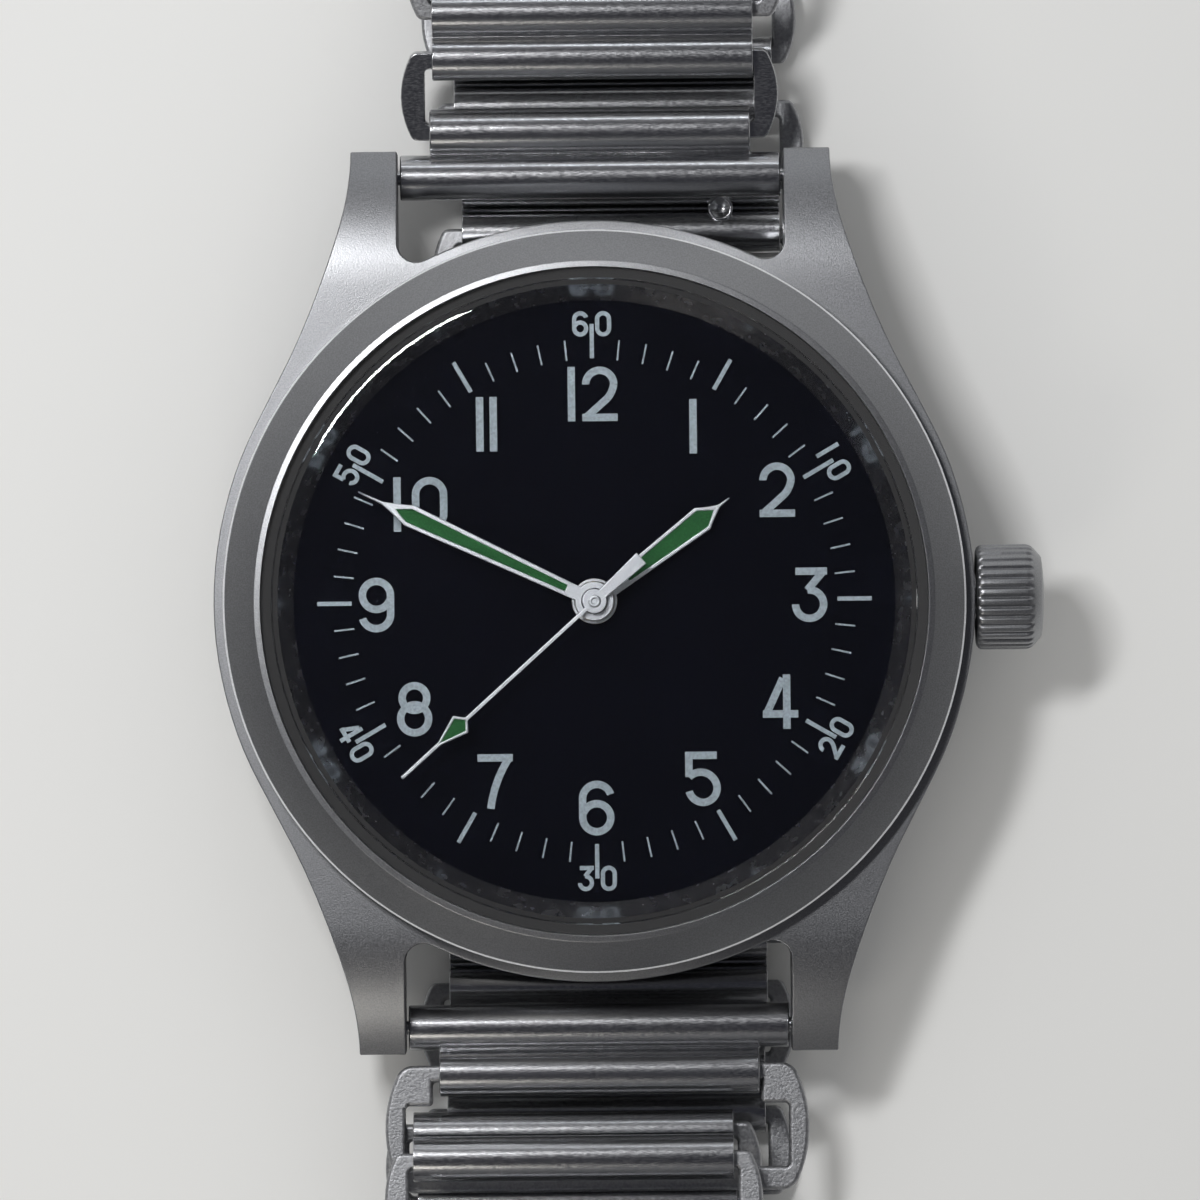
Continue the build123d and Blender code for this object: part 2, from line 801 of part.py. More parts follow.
# Dial printing: minute track, minute numbers and hour numbers, a thin raised layer of ink
number_offsets = {
    "10": (-ten_bar_offset, ten_zero_offset),
    "11": (-eleven_bar_offset, eleven_bar_offset),
    "12": (-twelve_bar_offset, twelve_two_offset),
}
with BuildPart() as dial_printing:
    with BuildSketch(Plane.XY.offset(dial_top)) as ink:
        for minute in range(60):
            on_hour = minute % 5 == 0
            inner = hour_tick_start if on_hour else minute_tick_start
            outer = hour_tick_end if on_hour else minute_tick_end
            tick_width = hour_tick_width if on_hour else minute_tick_width
            middle = dial_point((inner + outer) / 2, minute * 6)
            with Locations(Location((*middle, 0), (0, 0, -minute * 6))):
                Rectangle(tick_width, outer - inner)
        for place in range(6):
            clock_angle = place * 60
            upright = clock_angle not in (120, 180, 240)
            turn = -clock_angle if upright else 180 - clock_angle
            first, second = "612345"[place], "0"
            centre = dial_point(minute_number_radius, clock_angle)
            for character, side in ((first, -1), (second, 1)):
                shape = trace_digit(character, minute_digit_width, minute_number_height, minute_stroke)
                with Locations(Location((*centre, 0), (0, 0, turn))):
                    with Locations((side * minute_digit_spacing / 2, 0)):
                        add(shape)
        for radius_share, clock_angle, text in hour_number_shares:
            centre = Vector(*dial_point(radius_share * hour_number_radius, clock_angle))
            offsets = number_offsets.get(text, (0,))
            for character, offset in zip(text, offsets):
                shape = trace_digit(character, hour_digit_width, hour_number_height, hour_stroke)
                with Locations(centre + Vector(offset, 0)):
                    add(shape)
    extrude(amount=print_thickness)
dial_printing.part.label = "dial_printing"
export_step(dial_printing.part, "parts/dial_printing.step")


def hand_blade(base_width, shoulder, shoulder_width, needle_start, length):
    """A straight-sided blade that widens to its shoulder and ends in a needle, pointing along +Y."""
    half = shoulder_width / 2
    neck = needle_width / 2
    middle = ((half + neck) / 2 * blade_hollow_share, (shoulder + needle_start) / 2)
    with BuildSketch() as blade:
        with BuildLine():
            left = Line((-base_width / 2, 0), (-half, shoulder))
            rise = ThreePointArc(left @ 1, (-middle[0], middle[1]), (-neck, needle_start))
            tip = Polyline(rise @ 1, (-neck / 2, length), (neck / 2, length), (neck, needle_start))
            drop = ThreePointArc(tip @ 1, middle, (half, shoulder))
            right = Line(drop @ 1, (base_width / 2, 0))
            Line(right @ 1, left @ 0)
        make_face()
    return blade.sketch


def lume_window(base_width, shoulder, shoulder_width, start, end, rail):
    """The window in a blade that holds its lume, a rail's width inside the blade."""
    half = shoulder_width / 2 - rail
    slope = (shoulder_width - base_width) / (2 * shoulder)
    root = base_width / 2 + slope * start - rail
    with BuildSketch() as window:
        with BuildLine():
            side = Polyline((-root, start), (-half, shoulder), (0, end))
            Polyline(side @ 1, (half, shoulder), (root, start), side @ 0)
        make_face()
    return window.sketch


def turned(plane_z, clock_angle):
    """A level plane whose Y points at a clockwise angle from 12 o'clock."""
    return Plane.XY.offset(plane_z).rotated((0, 0, -clock_angle))


# Hour hand on its tube, minute hand on the cannon pinion, seconds hand on the fourth arbor
hour_window = (
    hour_base_width,
    hour_shoulder,
    hour_shoulder_width,
    hour_lume_start,
    hour_lume_end,
    hour_rail,
)
hour_blade = hand_blade(
    hour_base_width, hour_shoulder, hour_shoulder_width, hour_needle_start, hour_hand_length
)
with BuildPart() as hour_hand:
    with BuildSketch(turned(hour_hand_z, hour_hand_angle)):
        add(hour_blade)
        add(lume_window(*hour_window), mode=Mode.SUBTRACT)
        Circle(hour_boss_radius)
        Circle(hour_tube_radius, mode=Mode.SUBTRACT)
    extrude(amount=hand_thickness)
    with BuildSketch(Plane.XY.offset(hour_hand_z - hand_step / 2)):
        Circle(hour_boss_radius)
        Circle(hour_tube_radius, mode=Mode.SUBTRACT)
    extrude(amount=hand_step / 2)
hour_hand.part.label = "hour_hand"
export_step(hour_hand.part, "parts/hour_hand.step")

with BuildPart() as hour_lume:
    with BuildSketch(turned(hour_hand_z, hour_hand_angle)):
        add(lume_window(*hour_window))
    extrude(amount=lume_thickness)
hour_lume.part.label = "hour_lume"
export_step(hour_lume.part, "parts/hour_lume.step")

minute_window = (
    minute_base_width,
    minute_shoulder,
    minute_shoulder_width,
    minute_lume_start,
    minute_lume_end,
    minute_rail,
)
minute_blade = hand_blade(
    minute_base_width, minute_shoulder, minute_shoulder_width, minute_needle_start, minute_hand_length
)
with BuildPart() as minute_hand:
    with BuildSketch(turned(minute_hand_z, minute_hand_angle)):
        add(minute_blade)
        add(lume_window(*minute_window), mode=Mode.SUBTRACT)
        Circle(minute_boss_radius)
        Circle(cannon_radius, mode=Mode.SUBTRACT)
    extrude(amount=hand_thickness)
minute_hand.part.label = "minute_hand"
export_step(minute_hand.part, "parts/minute_hand.step")

with BuildPart() as minute_lume:
    with BuildSketch(turned(minute_hand_z, minute_hand_angle)):
        add(lume_window(*minute_window))
    extrude(amount=lume_thickness)
minute_lume.part.label = "minute_lume"
export_step(minute_lume.part, "parts/minute_lume.step")

lozenge = [
    (0, second_lozenge_start),
    (-second_lozenge_width / 2, second_lozenge_shoulder),
    (0, second_lozenge_end),
    (second_lozenge_width / 2, second_lozenge_shoulder),
]
lozenge_window = [
    (0, second_lozenge_start + second_rail),
    (-second_lozenge_width / 2 + second_rail, second_lozenge_shoulder + second_rail / 4),
    (0, second_lozenge_end - 2 * second_rail),
    (second_lozenge_width / 2 - second_rail, second_lozenge_shoulder + second_rail / 4),
]
with BuildPart() as second_hand:
    with BuildSketch(turned(second_hand_z, second_hand_angle)):
        with Locations((0, second_hand_length / 2)):
            Rectangle(second_needle_width, second_hand_length)
        with BuildLine():
            Polyline(*lozenge, close=True)
        make_face()
        with BuildLine():
            Polyline(
                (-second_tail_root / 2, 0),
                (-second_tail_width / 2, -second_tail_length),
                (second_tail_width / 2, -second_tail_length),
                (second_tail_root / 2, 0),
                close=True,
            )
        make_face()
        Circle(second_hub_radius)
        with BuildLine():
            Polyline(*lozenge_window, close=True)
        make_face(mode=Mode.SUBTRACT)
    extrude(amount=hand_thickness)
    with BuildSketch(Plane.XY.offset(second_hand_z + hand_thickness)):
        Circle(second_pin_radius)
        Circle(second_pin_hole, mode=Mode.SUBTRACT)
    extrude(amount=second_pin_height)
second_hand.part.label = "second_hand"
export_step(second_hand.part, "parts/second_hand.step")

with BuildPart() as second_lume:
    with BuildSketch(turned(second_hand_z, second_hand_angle)):
        with BuildLine():
            Polyline(*lozenge_window, close=True)
        make_face()
    extrude(amount=lume_thickness)
second_lume.part.label = "second_lume"
export_step(second_lume.part, "parts/second_lume.step")

# Crown and stem, which slide out together, in the tube pressed into the case
crown_start = case_radius + crown_gap
tube_end = case_radius + tube_reach
with BuildPart() as crown_tube:
    with BuildSketch(Plane.YZ.offset(bore_radius)):
        with Locations((0, crown_z)):
            Circle(tube_radius)
    extrude(amount=tube_end - bore_radius)
    with BuildSketch(Plane.YZ.offset(bore_radius)):
        with Locations((0, crown_z)):
            Circle(tube_bore)
    extrude(amount=tube_end - bore_radius, mode=Mode.SUBTRACT)
crown_tube.part.label = "crown_tube"
export_step(crown_tube.part, "parts/crown_tube.step")

with BuildPart() as crown:
    with BuildSketch(Plane.YZ.offset(crown_start)):
        with Locations((0, crown_z)):
            Circle(crown_radius)
            with PolarLocations(crown_radius, crown_flutes):
                Circle(crown_flute_radius, mode=Mode.SUBTRACT)
    extrude(amount=crown_knurl_length)
    with BuildSketch(Plane.YZ.offset(crown_start + crown_knurl_length)):
        with Locations((0, crown_z)):
            Circle(crown_radius - crown_flute_radius)
    extrude(amount=crown_length - crown_knurl_length)
    chamfer(crown.edges().group_by(Axis.X)[-1], crown_chamfer)
    with BuildSketch(Plane.YZ.offset(crown_start)):
        with Locations((0, crown_z)):
            Circle(crown_bore)
            Circle(stem_radius, mode=Mode.SUBTRACT)
    extrude(amount=crown_bore_depth, mode=Mode.SUBTRACT)
    with BuildSketch(Plane.YZ.offset(crown_start)):
        with Locations((0, crown_z)):
            Circle(stem_radius)
    extrude(amount=crown_bore_depth, mode=Mode.SUBTRACT)
crown.part.label = "crown"
export_step(crown.part, "parts/crown.step")

with BuildPart() as stem:
    with BuildSketch(Plane.YZ.offset(winding_pinion_start + winding_pinion_length)):
        with Locations((0, crown_z)):
            Circle(stem_radius)
    extrude(amount=crown_start + crown_bore_depth - winding_pinion_start - winding_pinion_length)
    with BuildSketch(Plane.YZ.offset(stem_end)):
        with Locations((0, crown_z)):
            Rectangle(stem_square, stem_square)
    extrude(amount=winding_pinion_start + winding_pinion_length - stem_end)
stem.part.label = "stem"
export_step(stem.part, "parts/stem.step")


def mesh_turn(teeth, line_angle, other_teeth, other_turn=0):
    """How far a gear is turned so that its gap meets the tooth of the gear at the start of the line."""
    other_phase = (line_angle - other_turn) * other_teeth / 360
    phase = 0.5 - other_phase
    return line_angle + 180 - phase * 360 / teeth


def gear(teeth, module, play=0, start_turn=0):
    """A toothed disc with straight-sided teeth, tip and root one module from the pitch circle."""
    pitch_radius = teeth * module / 2
    tip = pitch_radius + module - play
    root = pitch_radius - module - play - tooth_play
    pitch_turn = 360 / teeth
    rise = ((root, -tooth_share), (tip, -tooth_tip_share))
    fall = ((tip, tooth_tip_share), (root, tooth_share))
    points = []
    for tooth in range(teeth):
        middle = start_turn + tooth * pitch_turn
        for radius, share in rise + fall:
            turn = radians(middle + share * pitch_turn)
            points.append((radius * cos(turn), radius * sin(turn)))
    with BuildSketch() as disc:
        with BuildLine():
            Polyline(*points, close=True)
        make_face()
    return disc.sketch


def spoked_gear(teeth, module, spokes, start_turn=0):
    """A wheel with its middle crossed out between the spokes."""
    rim_radius = teeth * module / 2 * rim_share
    with BuildSketch() as wheel:
        add(gear(teeth, module, 0, start_turn))
        Circle(rim_radius, mode=Mode.SUBTRACT)
        with PolarLocations(rim_radius / 2, spokes):
            Rectangle(rim_radius + spoke_width, spoke_width)
        Circle(wheel_hub_radius)
    return wheel.sketch


def around(angle, distance, centre=(0, 0)):
    """The place at an angle and distance from a centre, on the dial's plane."""
    return (centre[0] + distance * cos(radians(angle)), centre[1] + distance * sin(radians(angle)))


def level(z, place=(0, 0)):
    return Plane(origin=(*place, z))


# Places of the train's axes, each from its gears' pitch radii
barrel_place = around(barrel_angle, (barrel_teeth + centre_pinion_teeth) * barrel_module / 2)
third_distance = (centre_teeth + third_pinion_teeth) * train_module / 2
third_place = around(third_angle, third_distance)
third_module = 2 * third_distance / (third_teeth + fourth_pinion_teeth)
escape_place = around(escape_angle, (fourth_teeth + escape_pinion_teeth) * fourth_module / 2)
pallet_place = around(pallet_angle, pallet_distance, escape_place)
balance_place = around(pallet_angle, balance_distance, pallet_place)
minute_wheel_distance = (cannon_teeth + minute_wheel_teeth) * motion_module / 2
minute_wheel_place = around(minute_wheel_angle, minute_wheel_distance)
hour_module = 2 * minute_wheel_distance / (minute_pinion_teeth + hour_wheel_teeth)
barrel_turn = mesh_turn(barrel_teeth, barrel_angle, centre_pinion_teeth)
third_pinion_turn = mesh_turn(third_pinion_teeth, third_angle, centre_teeth)
third_turn = mesh_turn(third_teeth, third_angle, fourth_pinion_teeth)
escape_pinion_turn = mesh_turn(escape_pinion_teeth, escape_angle, fourth_teeth)
minute_turn = mesh_turn(minute_wheel_teeth, minute_wheel_angle, cannon_teeth)
minute_pinion_turn = mesh_turn(minute_pinion_teeth, minute_wheel_angle, hour_wheel_teeth)
train_places = [barrel_place, third_place, (0, 0), escape_place]

# Main plate: carries the train below and the motion work above, with a seat for the dial round its rim
with BuildPart() as main_plate:
    with BuildSketch(level(plate_z)):
        Circle(plate_radius)
    extrude(amount=dial_z - plate_z)
    with BuildSketch(level(plate_top)):
        Circle(plate_recess_radius)
    extrude(amount=dial_z - plate_top, mode=Mode.SUBTRACT)
    with BuildSketch(level(plate_z)):
        with Locations(barrel_place):
            Circle(barrel_teeth * barrel_module / 2 + barrel_module + plate_clearance)
        Circle(plate_radius, mode=Mode.INTERSECT)
    extrude(amount=barrel_z + barrel_height + plate_clearance - plate_z, mode=Mode.SUBTRACT)
    with BuildSketch(level(plate_z)):
        Circle(centre_tube_radius + fit)
        with Locations(third_place, escape_place, pallet_place, balance_place, barrel_place):
            Circle(pivot_radius + fit)
    extrude(amount=plate_thickness, mode=Mode.SUBTRACT)
    with BuildSketch(level(plate_z)):
        with Locations((winding_pinion_start + winding_pinion_length / 2, 0)):
            slot_length = winding_pinion_length + 2 * plate_clearance
            Rectangle(slot_length, 2 * (winding_pinion_radius + plate_clearance))
    extrude(amount=dial_z - plate_z, mode=Mode.SUBTRACT)
    with BuildSketch(Plane.YZ.offset(stem_end - plate_clearance)):
        with Locations((0, crown_z)):
            Circle(stem_radius + fit)
    extrude(amount=plate_radius, mode=Mode.SUBTRACT)
main_plate.part.label = "main_plate"
export_step(main_plate.part, "parts/main_plate.step")

# Train bridge on three pillars, cut away for the balance, its cock and the pallet bridge
balance_space = balance_radius + cock_gap
cock_foot_place = (cock_foot_share[0] * bridge_radius, cock_foot_share[1] * bridge_radius)
with BuildPart() as train_bridge:
    with BuildSketch(level(bridge_z)):
        Circle(bridge_radius)
        with Locations(balance_place):
            Circle(balance_space, mode=Mode.SUBTRACT)
        with Locations(cock_foot_place):
            Circle(cock_width / 2 + cock_gap, mode=Mode.SUBTRACT)
        with BuildLine():
            Polyline(
                around(bridge_cut_angle, bridge_cut_radius, cock_foot_place),
                around(bridge_cut_angle, 2 * bridge_radius, cock_foot_place),
                around(pallet_angle, bridge_radius, balance_place),
                around(pallet_angle + 180, balance_space, balance_place),
                close=True,
            )
        make_face(mode=Mode.SUBTRACT)
    extrude(amount=bridge_thickness)
    with BuildSketch(level(bridge_top)):
        with Locations(*((x * bridge_radius, y * bridge_radius) for x, y in pillar_shares)):
            Circle(pillar_radius)
    extrude(amount=plate_z - bridge_top)
    with BuildSketch(level(bridge_z)):
        with Locations(*train_places):
            Circle(pivot_radius + fit)
    extrude(amount=bridge_thickness, mode=Mode.SUBTRACT)
train_bridge.part.label = "train_bridge"
export_step(train_bridge.part, "parts/train_bridge.step")

# Balance cock: an arm over the balance from a foot at the plate's edge
cock_arm = Vector(*balance_place) - Vector(*cock_foot_place)
cock_middle = Vector(*cock_foot_place) + cock_arm / 2
cock_heading = degrees(atan2(cock_arm.Y, cock_arm.X))
with BuildPart() as balance_cock:
    with BuildSketch(level(bridge_z)):
        with Locations(cock_foot_place, balance_place):
            Circle(cock_width / 2)
        with Locations(Location(cock_middle, (0, 0, cock_heading))):
            Rectangle(cock_arm.length, cock_width)
    extrude(amount=bridge_thickness)
    with BuildSketch(level(bridge_top)):
        with Locations(cock_foot_place):
            Circle(cock_width / 2)
    extrude(amount=plate_z - bridge_top)
    with BuildSketch(level(bridge_z)):
        with Locations(balance_place):
            Circle(pivot_radius + fit)
    extrude(amount=bridge_thickness, mode=Mode.SUBTRACT)
balance_cock.part.label = "balance_cock"
export_step(balance_cock.part, "parts/balance_cock.step")

# Pallet bridge: a short bar under the fork, on a post beside it
pallet_post = around(pallet_bridge_angle, pallet_bridge_reach, pallet_place)
pallet_bridge_z = escape_z - level_gap - pallet_bridge_thickness
with BuildPart() as pallet_bridge:
    with BuildSketch(level(pallet_bridge_z)):
        with Locations(pallet_post, pallet_place):
            Circle(pallet_bridge_width / 2)
        middle = (Vector(*pallet_post) + Vector(*pallet_place)) / 2
        with Locations(Location(middle, (0, 0, pallet_bridge_angle))):
            Rectangle(pallet_bridge_reach, pallet_bridge_width)
        with Locations(pallet_place):
            Circle(pivot_radius + fit, mode=Mode.SUBTRACT)
    extrude(amount=pallet_bridge_thickness)
    with BuildSketch(level(pallet_bridge_z + pallet_bridge_thickness)):
        with Locations(pallet_post):
            Circle(pallet_bridge_width / 2)
    extrude(amount=plate_z - pallet_bridge_z - pallet_bridge_thickness)
pallet_bridge.part.label = "pallet_bridge"
export_step(pallet_bridge.part, "parts/pallet_bridge.step")

# Barrel with the teeth of its drum, on an arbor that carries the ratchet wheel
with BuildPart() as barrel:
    with BuildSketch(level(barrel_z, barrel_place)):
        add(gear(barrel_teeth, barrel_module, 0, barrel_turn))
    extrude(amount=barrel_teeth_height)
    with BuildSketch(level(barrel_z, barrel_place)):
        Circle(barrel_teeth * barrel_module / 2 - 2 * barrel_module)
    extrude(amount=barrel_height)
    with BuildSketch(level(barrel_z + barrel_wall, barrel_place)):
        Circle(barrel_teeth * barrel_module / 2 - 2 * barrel_module - barrel_wall)
    extrude(amount=barrel_height - 2 * barrel_wall, mode=Mode.SUBTRACT)
    with BuildSketch(level(barrel_z, barrel_place)):
        Circle(arbor_radius + fit)
    extrude(amount=barrel_height, mode=Mode.SUBTRACT)
barrel.part.label = "barrel"
export_step(barrel.part, "parts/barrel.step")

with BuildPart() as ratchet_wheel:
    with BuildSketch(level(third_z, barrel_place)):
        add(gear(ratchet_teeth, 2 * ratchet_radius / ratchet_teeth))
    extrude(amount=ratchet_thickness)
    with BuildSketch(level(bridge_top + end_shake, barrel_place)):
        Circle(arbor_radius)
    extrude(amount=barrel_z + barrel_height - bridge_top - end_shake)
    with BuildSketch(level(bridge_z + end_shake, barrel_place)):
        Circle(pivot_radius)
    extrude(amount=plate_top - bridge_z - end_shake)
ratchet_wheel.part.label = "ratchet_wheel"
export_step(ratchet_wheel.part, "parts/ratchet_wheel.step")


def build_wheel(name, place, wheel_z, wheel_face, pinion_face, pinion_z, pinion_height, low, high):
    """A train wheel, its pinion and the arbor that carries both between two pivots."""
    with BuildPart() as wheel:
        with BuildSketch(level(wheel_z, place)):
            add(wheel_face)
        extrude(amount=wheel_thickness)
        with BuildSketch(level(pinion_z, place)):
            add(pinion_face)
        extrude(amount=pinion_height)
        with BuildSketch(level(min(wheel_z, pinion_z), place)):
            Circle(arbor_radius)
        extrude(amount=max(wheel_z + wheel_thickness, pinion_z + pinion_height) - min(wheel_z, pinion_z))
        with BuildSketch(level(low + end_shake, place)):
            Circle(pivot_radius)
        extrude(amount=high - low - 2 * end_shake)
    wheel.part.label = name
    export_step(wheel.part, f"parts/{name}.step")
    return wheel.part


third_wheel = build_wheel(
    "third_wheel",
    third_place,
    third_z,
    spoked_gear(third_teeth, third_module, train_spokes, third_turn),
    gear(third_pinion_teeth, train_module, tooth_play, third_pinion_turn),
    third_z + wheel_thickness,
    centre_z + 2 * wheel_thickness - third_z - wheel_thickness,
    bridge_z,
    plate_top,
)
escape_wheel_face = []
for tooth in range(escape_teeth):
    for radius, share in zip((escape_root_radius, escape_radius, escape_radius), escape_tooth_shares):
        escape_wheel_face.append(around((tooth + share) * 360 / escape_teeth + escape_turn, radius))
with BuildSketch() as escape_face:
    with BuildLine():
        Polyline(*escape_wheel_face, close=True)
    make_face()
    Circle(escape_root_radius * rim_share, mode=Mode.SUBTRACT)
    with PolarLocations(escape_root_radius * rim_share / 2, escape_spokes):
        Rectangle(escape_root_radius * rim_share + spoke_width / 2, spoke_width / 2)
    Circle(wheel_hub_radius / 2)
escape_wheel = build_wheel(
    "escape_wheel",
    escape_place,
    escape_z,
    escape_face.sketch,
    gear(escape_pinion_teeth, fourth_module, tooth_play, escape_pinion_turn),
    fourth_z - end_shake,
    escape_pinion_height,
    bridge_z,
    plate_top,
)

# Centre wheel and its hollow arbor, which carries the cannon pinion above the plate
cannon_top = minute_hand_z + hand_thickness
with BuildPart() as centre_wheel:
    with BuildSketch(level(centre_z)):
        add(spoked_gear(centre_teeth, train_module, train_spokes))
    extrude(amount=wheel_thickness)
    with BuildSketch(level(centre_z + wheel_thickness)):
        add(gear(centre_pinion_teeth, barrel_module, tooth_play))
    extrude(amount=plate_z - centre_z - wheel_thickness - end_shake)
    with BuildSketch(level(centre_z)):
        Circle(centre_tube_radius)
    extrude(amount=hour_hand_z - centre_z)
    with BuildSketch(level(centre_z)):
        Circle(centre_tube_bore)
    extrude(amount=hour_hand_z - centre_z, mode=Mode.SUBTRACT)
centre_wheel.part.label = "centre_wheel"
export_step(centre_wheel.part, "parts/centre_wheel.step")

with BuildPart() as cannon_pinion:
    with BuildSketch(level(plate_top + end_shake)):
        add(gear(cannon_teeth, motion_module, tooth_play))
        Circle(cannon_radius)
    extrude(amount=motion_level)
    with BuildSketch(level(plate_top + end_shake)):
        Circle(cannon_radius)
    extrude(amount=cannon_top - plate_top - end_shake)
    with BuildSketch(level(plate_top)):
        Circle(centre_tube_radius)
    extrude(amount=cannon_top - plate_top, mode=Mode.SUBTRACT)
cannon_pinion.part.label = "cannon_pinion"
export_step(cannon_pinion.part, "parts/cannon_pinion.step")

# Minute wheel on its stud, and the hour wheel whose tube rises round the cannon pinion
minute_stud = arbor_radius
with BuildPart() as minute_wheel:
    with BuildSketch(level(plate_top + end_shake, minute_wheel_place)):
        add(gear(minute_wheel_teeth, motion_module, 0, minute_turn))
        Circle(minute_stud + fit, mode=Mode.SUBTRACT)
    extrude(amount=wheel_thickness)
    with BuildSketch(level(plate_top + end_shake + wheel_thickness, minute_wheel_place)):
        add(gear(minute_pinion_teeth, hour_module, tooth_play, minute_pinion_turn))
        Circle(minute_stud + fit, mode=Mode.SUBTRACT)
    extrude(amount=motion_height - wheel_thickness - 2 * end_shake)
minute_wheel.part.label = "minute_wheel"
export_step(minute_wheel.part, "parts/minute_wheel.step")

hour_wheel_z = plate_top + end_shake + motion_level + end_shake
with BuildPart() as hour_wheel:
    with BuildSketch(level(hour_wheel_z)):
        add(gear(hour_wheel_teeth, hour_module))
    extrude(amount=wheel_thickness)
    with BuildSketch(level(hour_wheel_z)):
        Circle(hour_tube_radius)
    extrude(amount=hour_hand_z + hand_thickness - hour_wheel_z)
    with BuildSketch(level(hour_wheel_z)):
        Circle(hour_tube_bore)
    extrude(amount=hour_hand_z + hand_thickness - hour_wheel_z, mode=Mode.SUBTRACT)
hour_wheel.part.label = "hour_wheel"
export_step(hour_wheel.part, "parts/hour_wheel.step")

# Fourth wheel: its long arbor runs up through the centre tube to the seconds hand
with BuildPart() as fourth_wheel:
    with BuildSketch(level(fourth_z)):
        add(spoked_gear(fourth_teeth, fourth_module, fourth_spokes))
    extrude(amount=wheel_thickness)
    with BuildSketch(level(fourth_z + wheel_thickness)):
        add(gear(fourth_pinion_teeth, third_module, tooth_play))
    extrude(amount=centre_z - fourth_z - wheel_thickness - end_shake)
    with BuildSketch(level(bridge_z + end_shake)):
        Circle(pivot_radius)
    extrude(amount=fourth_z - bridge_z)
    with BuildSketch(level(fourth_z)):
        Circle(seconds_arbor_radius)
    extrude(amount=second_hand_z - fourth_z)
fourth_wheel.part.label = "fourth_wheel"
export_step(fourth_wheel.part, "parts/fourth_wheel.step")

# Pallet fork: two stones that catch the escape wheel and a slot that takes the impulse pin
fork_heading = (*around(pallet_angle, 1), 0)
with BuildPart() as pallet_fork:
    with BuildSketch(Plane(origin=(*pallet_place, escape_z), x_dir=fork_heading)):
        Circle(arbor_radius)
        with Locations((pallet_tail_length / 2, 0)):
            Rectangle(pallet_tail_length, pallet_arm_width)
        with Locations((pallet_tail_length, 0)):
            Rectangle(2 * pallet_slot_length, 2 * pallet_slot_width)
        with Locations((pallet_tail_length + pallet_slot_length / 2, 0)):
            Rectangle(pallet_slot_length, pallet_slot_width, mode=Mode.SUBTRACT)
        for side in (1, -1):
            turn = side * (180 - pallet_arm_spread)
            elbow = around(turn, pallet_arm_length)
            with Locations(Location((*around(turn, pallet_arm_length / 2), 0), (0, 0, turn))):
                Rectangle(pallet_arm_length, pallet_arm_width)
            with Locations((elbow[0] + pallet_stone_width / 2, elbow[1])):
                Rectangle(2 * pallet_stone_width, pallet_stone_width)
    extrude(amount=pallet_thickness)
    with BuildSketch(level(pallet_bridge_z + end_shake, pallet_place)):
        Circle(pivot_radius)
    extrude(amount=plate_top - pallet_bridge_z - 2 * end_shake)
pallet_fork.part.label = "pallet_fork"
export_step(pallet_fork.part, "parts/pallet_fork.step")

# Balance wheel with its staff, roller and impulse pin, and the hairspring over it
roller_z = escape_z - roller_drop - roller_thickness
with BuildPart() as balance_wheel:
    with BuildSketch(level(balance_z, balance_place)):
        Circle(balance_radius)
        Circle(balance_radius - balance_rim_width, mode=Mode.SUBTRACT)
        Rectangle(2 * balance_radius - balance_rim_width, balance_arm_width)
        Circle(wheel_hub_radius)
    extrude(amount=balance_thickness)
    with BuildSketch(level(balance_z, balance_place)):
        Circle(arbor_radius)
    extrude(amount=roller_z - balance_z)
    with BuildSketch(level(roller_z, balance_place)):
        Circle(roller_radius + impulse_radius)
    extrude(amount=roller_thickness)
    with BuildSketch(Plane(origin=(*around(pallet_angle + 180, impulse_offset, balance_place), roller_z))):
        Circle(impulse_radius)
    extrude(amount=escape_z - 2 * end_shake - roller_z)
    with BuildSketch(level(bridge_z + end_shake, balance_place)):
        Circle(pivot_radius)
    extrude(amount=plate_top - bridge_z - 2 * end_shake)
balance_wheel.part.label = "balance_wheel"
export_step(balance_wheel.part, "parts/balance_wheel.step")

spring_z = (bridge_top + balance_z - spring_height) / 2
with BuildPart() as hairspring:
    with BuildSketch(level(spring_z, balance_place)):
        Circle(spring_inner_radius)
        Circle(pivot_radius + fit / 2, mode=Mode.SUBTRACT)
        for half_turn in range(2 * spring_coils):
            radius = spring_inner_radius + spring_coil_gap * (half_turn + 1) / 2
            shift = spring_coil_gap / 4 if half_turn % 2 else -spring_coil_gap / 4
            with BuildLine():
                arc = CenterArc((shift, 0), radius - spring_coil_gap / 4, 180 * (half_turn % 2), 180)
            for face in trace(arc.edge(), line_width=spring_strip, mode=Mode.PRIVATE).faces():
                add(face if face.normal_at().Z > 0 else -face)
    extrude(amount=spring_height)
hairspring.part.label = "hairspring"
export_step(hairspring.part, "parts/hairspring.step")

with BuildPart() as winding_pinion:
    with BuildSketch(Plane.YZ.offset(winding_pinion_start)):
        with Locations((0, crown_z)):
            add(gear(winding_teeth, 2 * winding_pinion_radius / (winding_teeth + 2)))
            Rectangle(stem_square + fit, stem_square + fit, mode=Mode.SUBTRACT)
    extrude(amount=winding_pinion_length)
winding_pinion.part.label = "winding_pinion"
export_step(winding_pinion.part, "parts/winding_pinion.step")


# Spring bars, whose tips sit in the lugs
for name, bar in (("spring_bar_12", top_bar), ("spring_bar_6", bottom_bar)):
    with BuildPart() as spring_bar:
        with BuildSketch(Plane.YZ):
            with Locations(bar):
                Circle(spring_bar_radius)
        extrude(amount=lug_gap / 2 - spring_bar_gap, both=True)
        with BuildSketch(Plane.YZ):
            with Locations(bar):
                Circle(spring_tip_radius)
        extrude(amount=lug_gap / 2 + spring_tip_length, both=True)
    spring_bar.part.label = name
    export_step(spring_bar.part, f"parts/{name}.step")


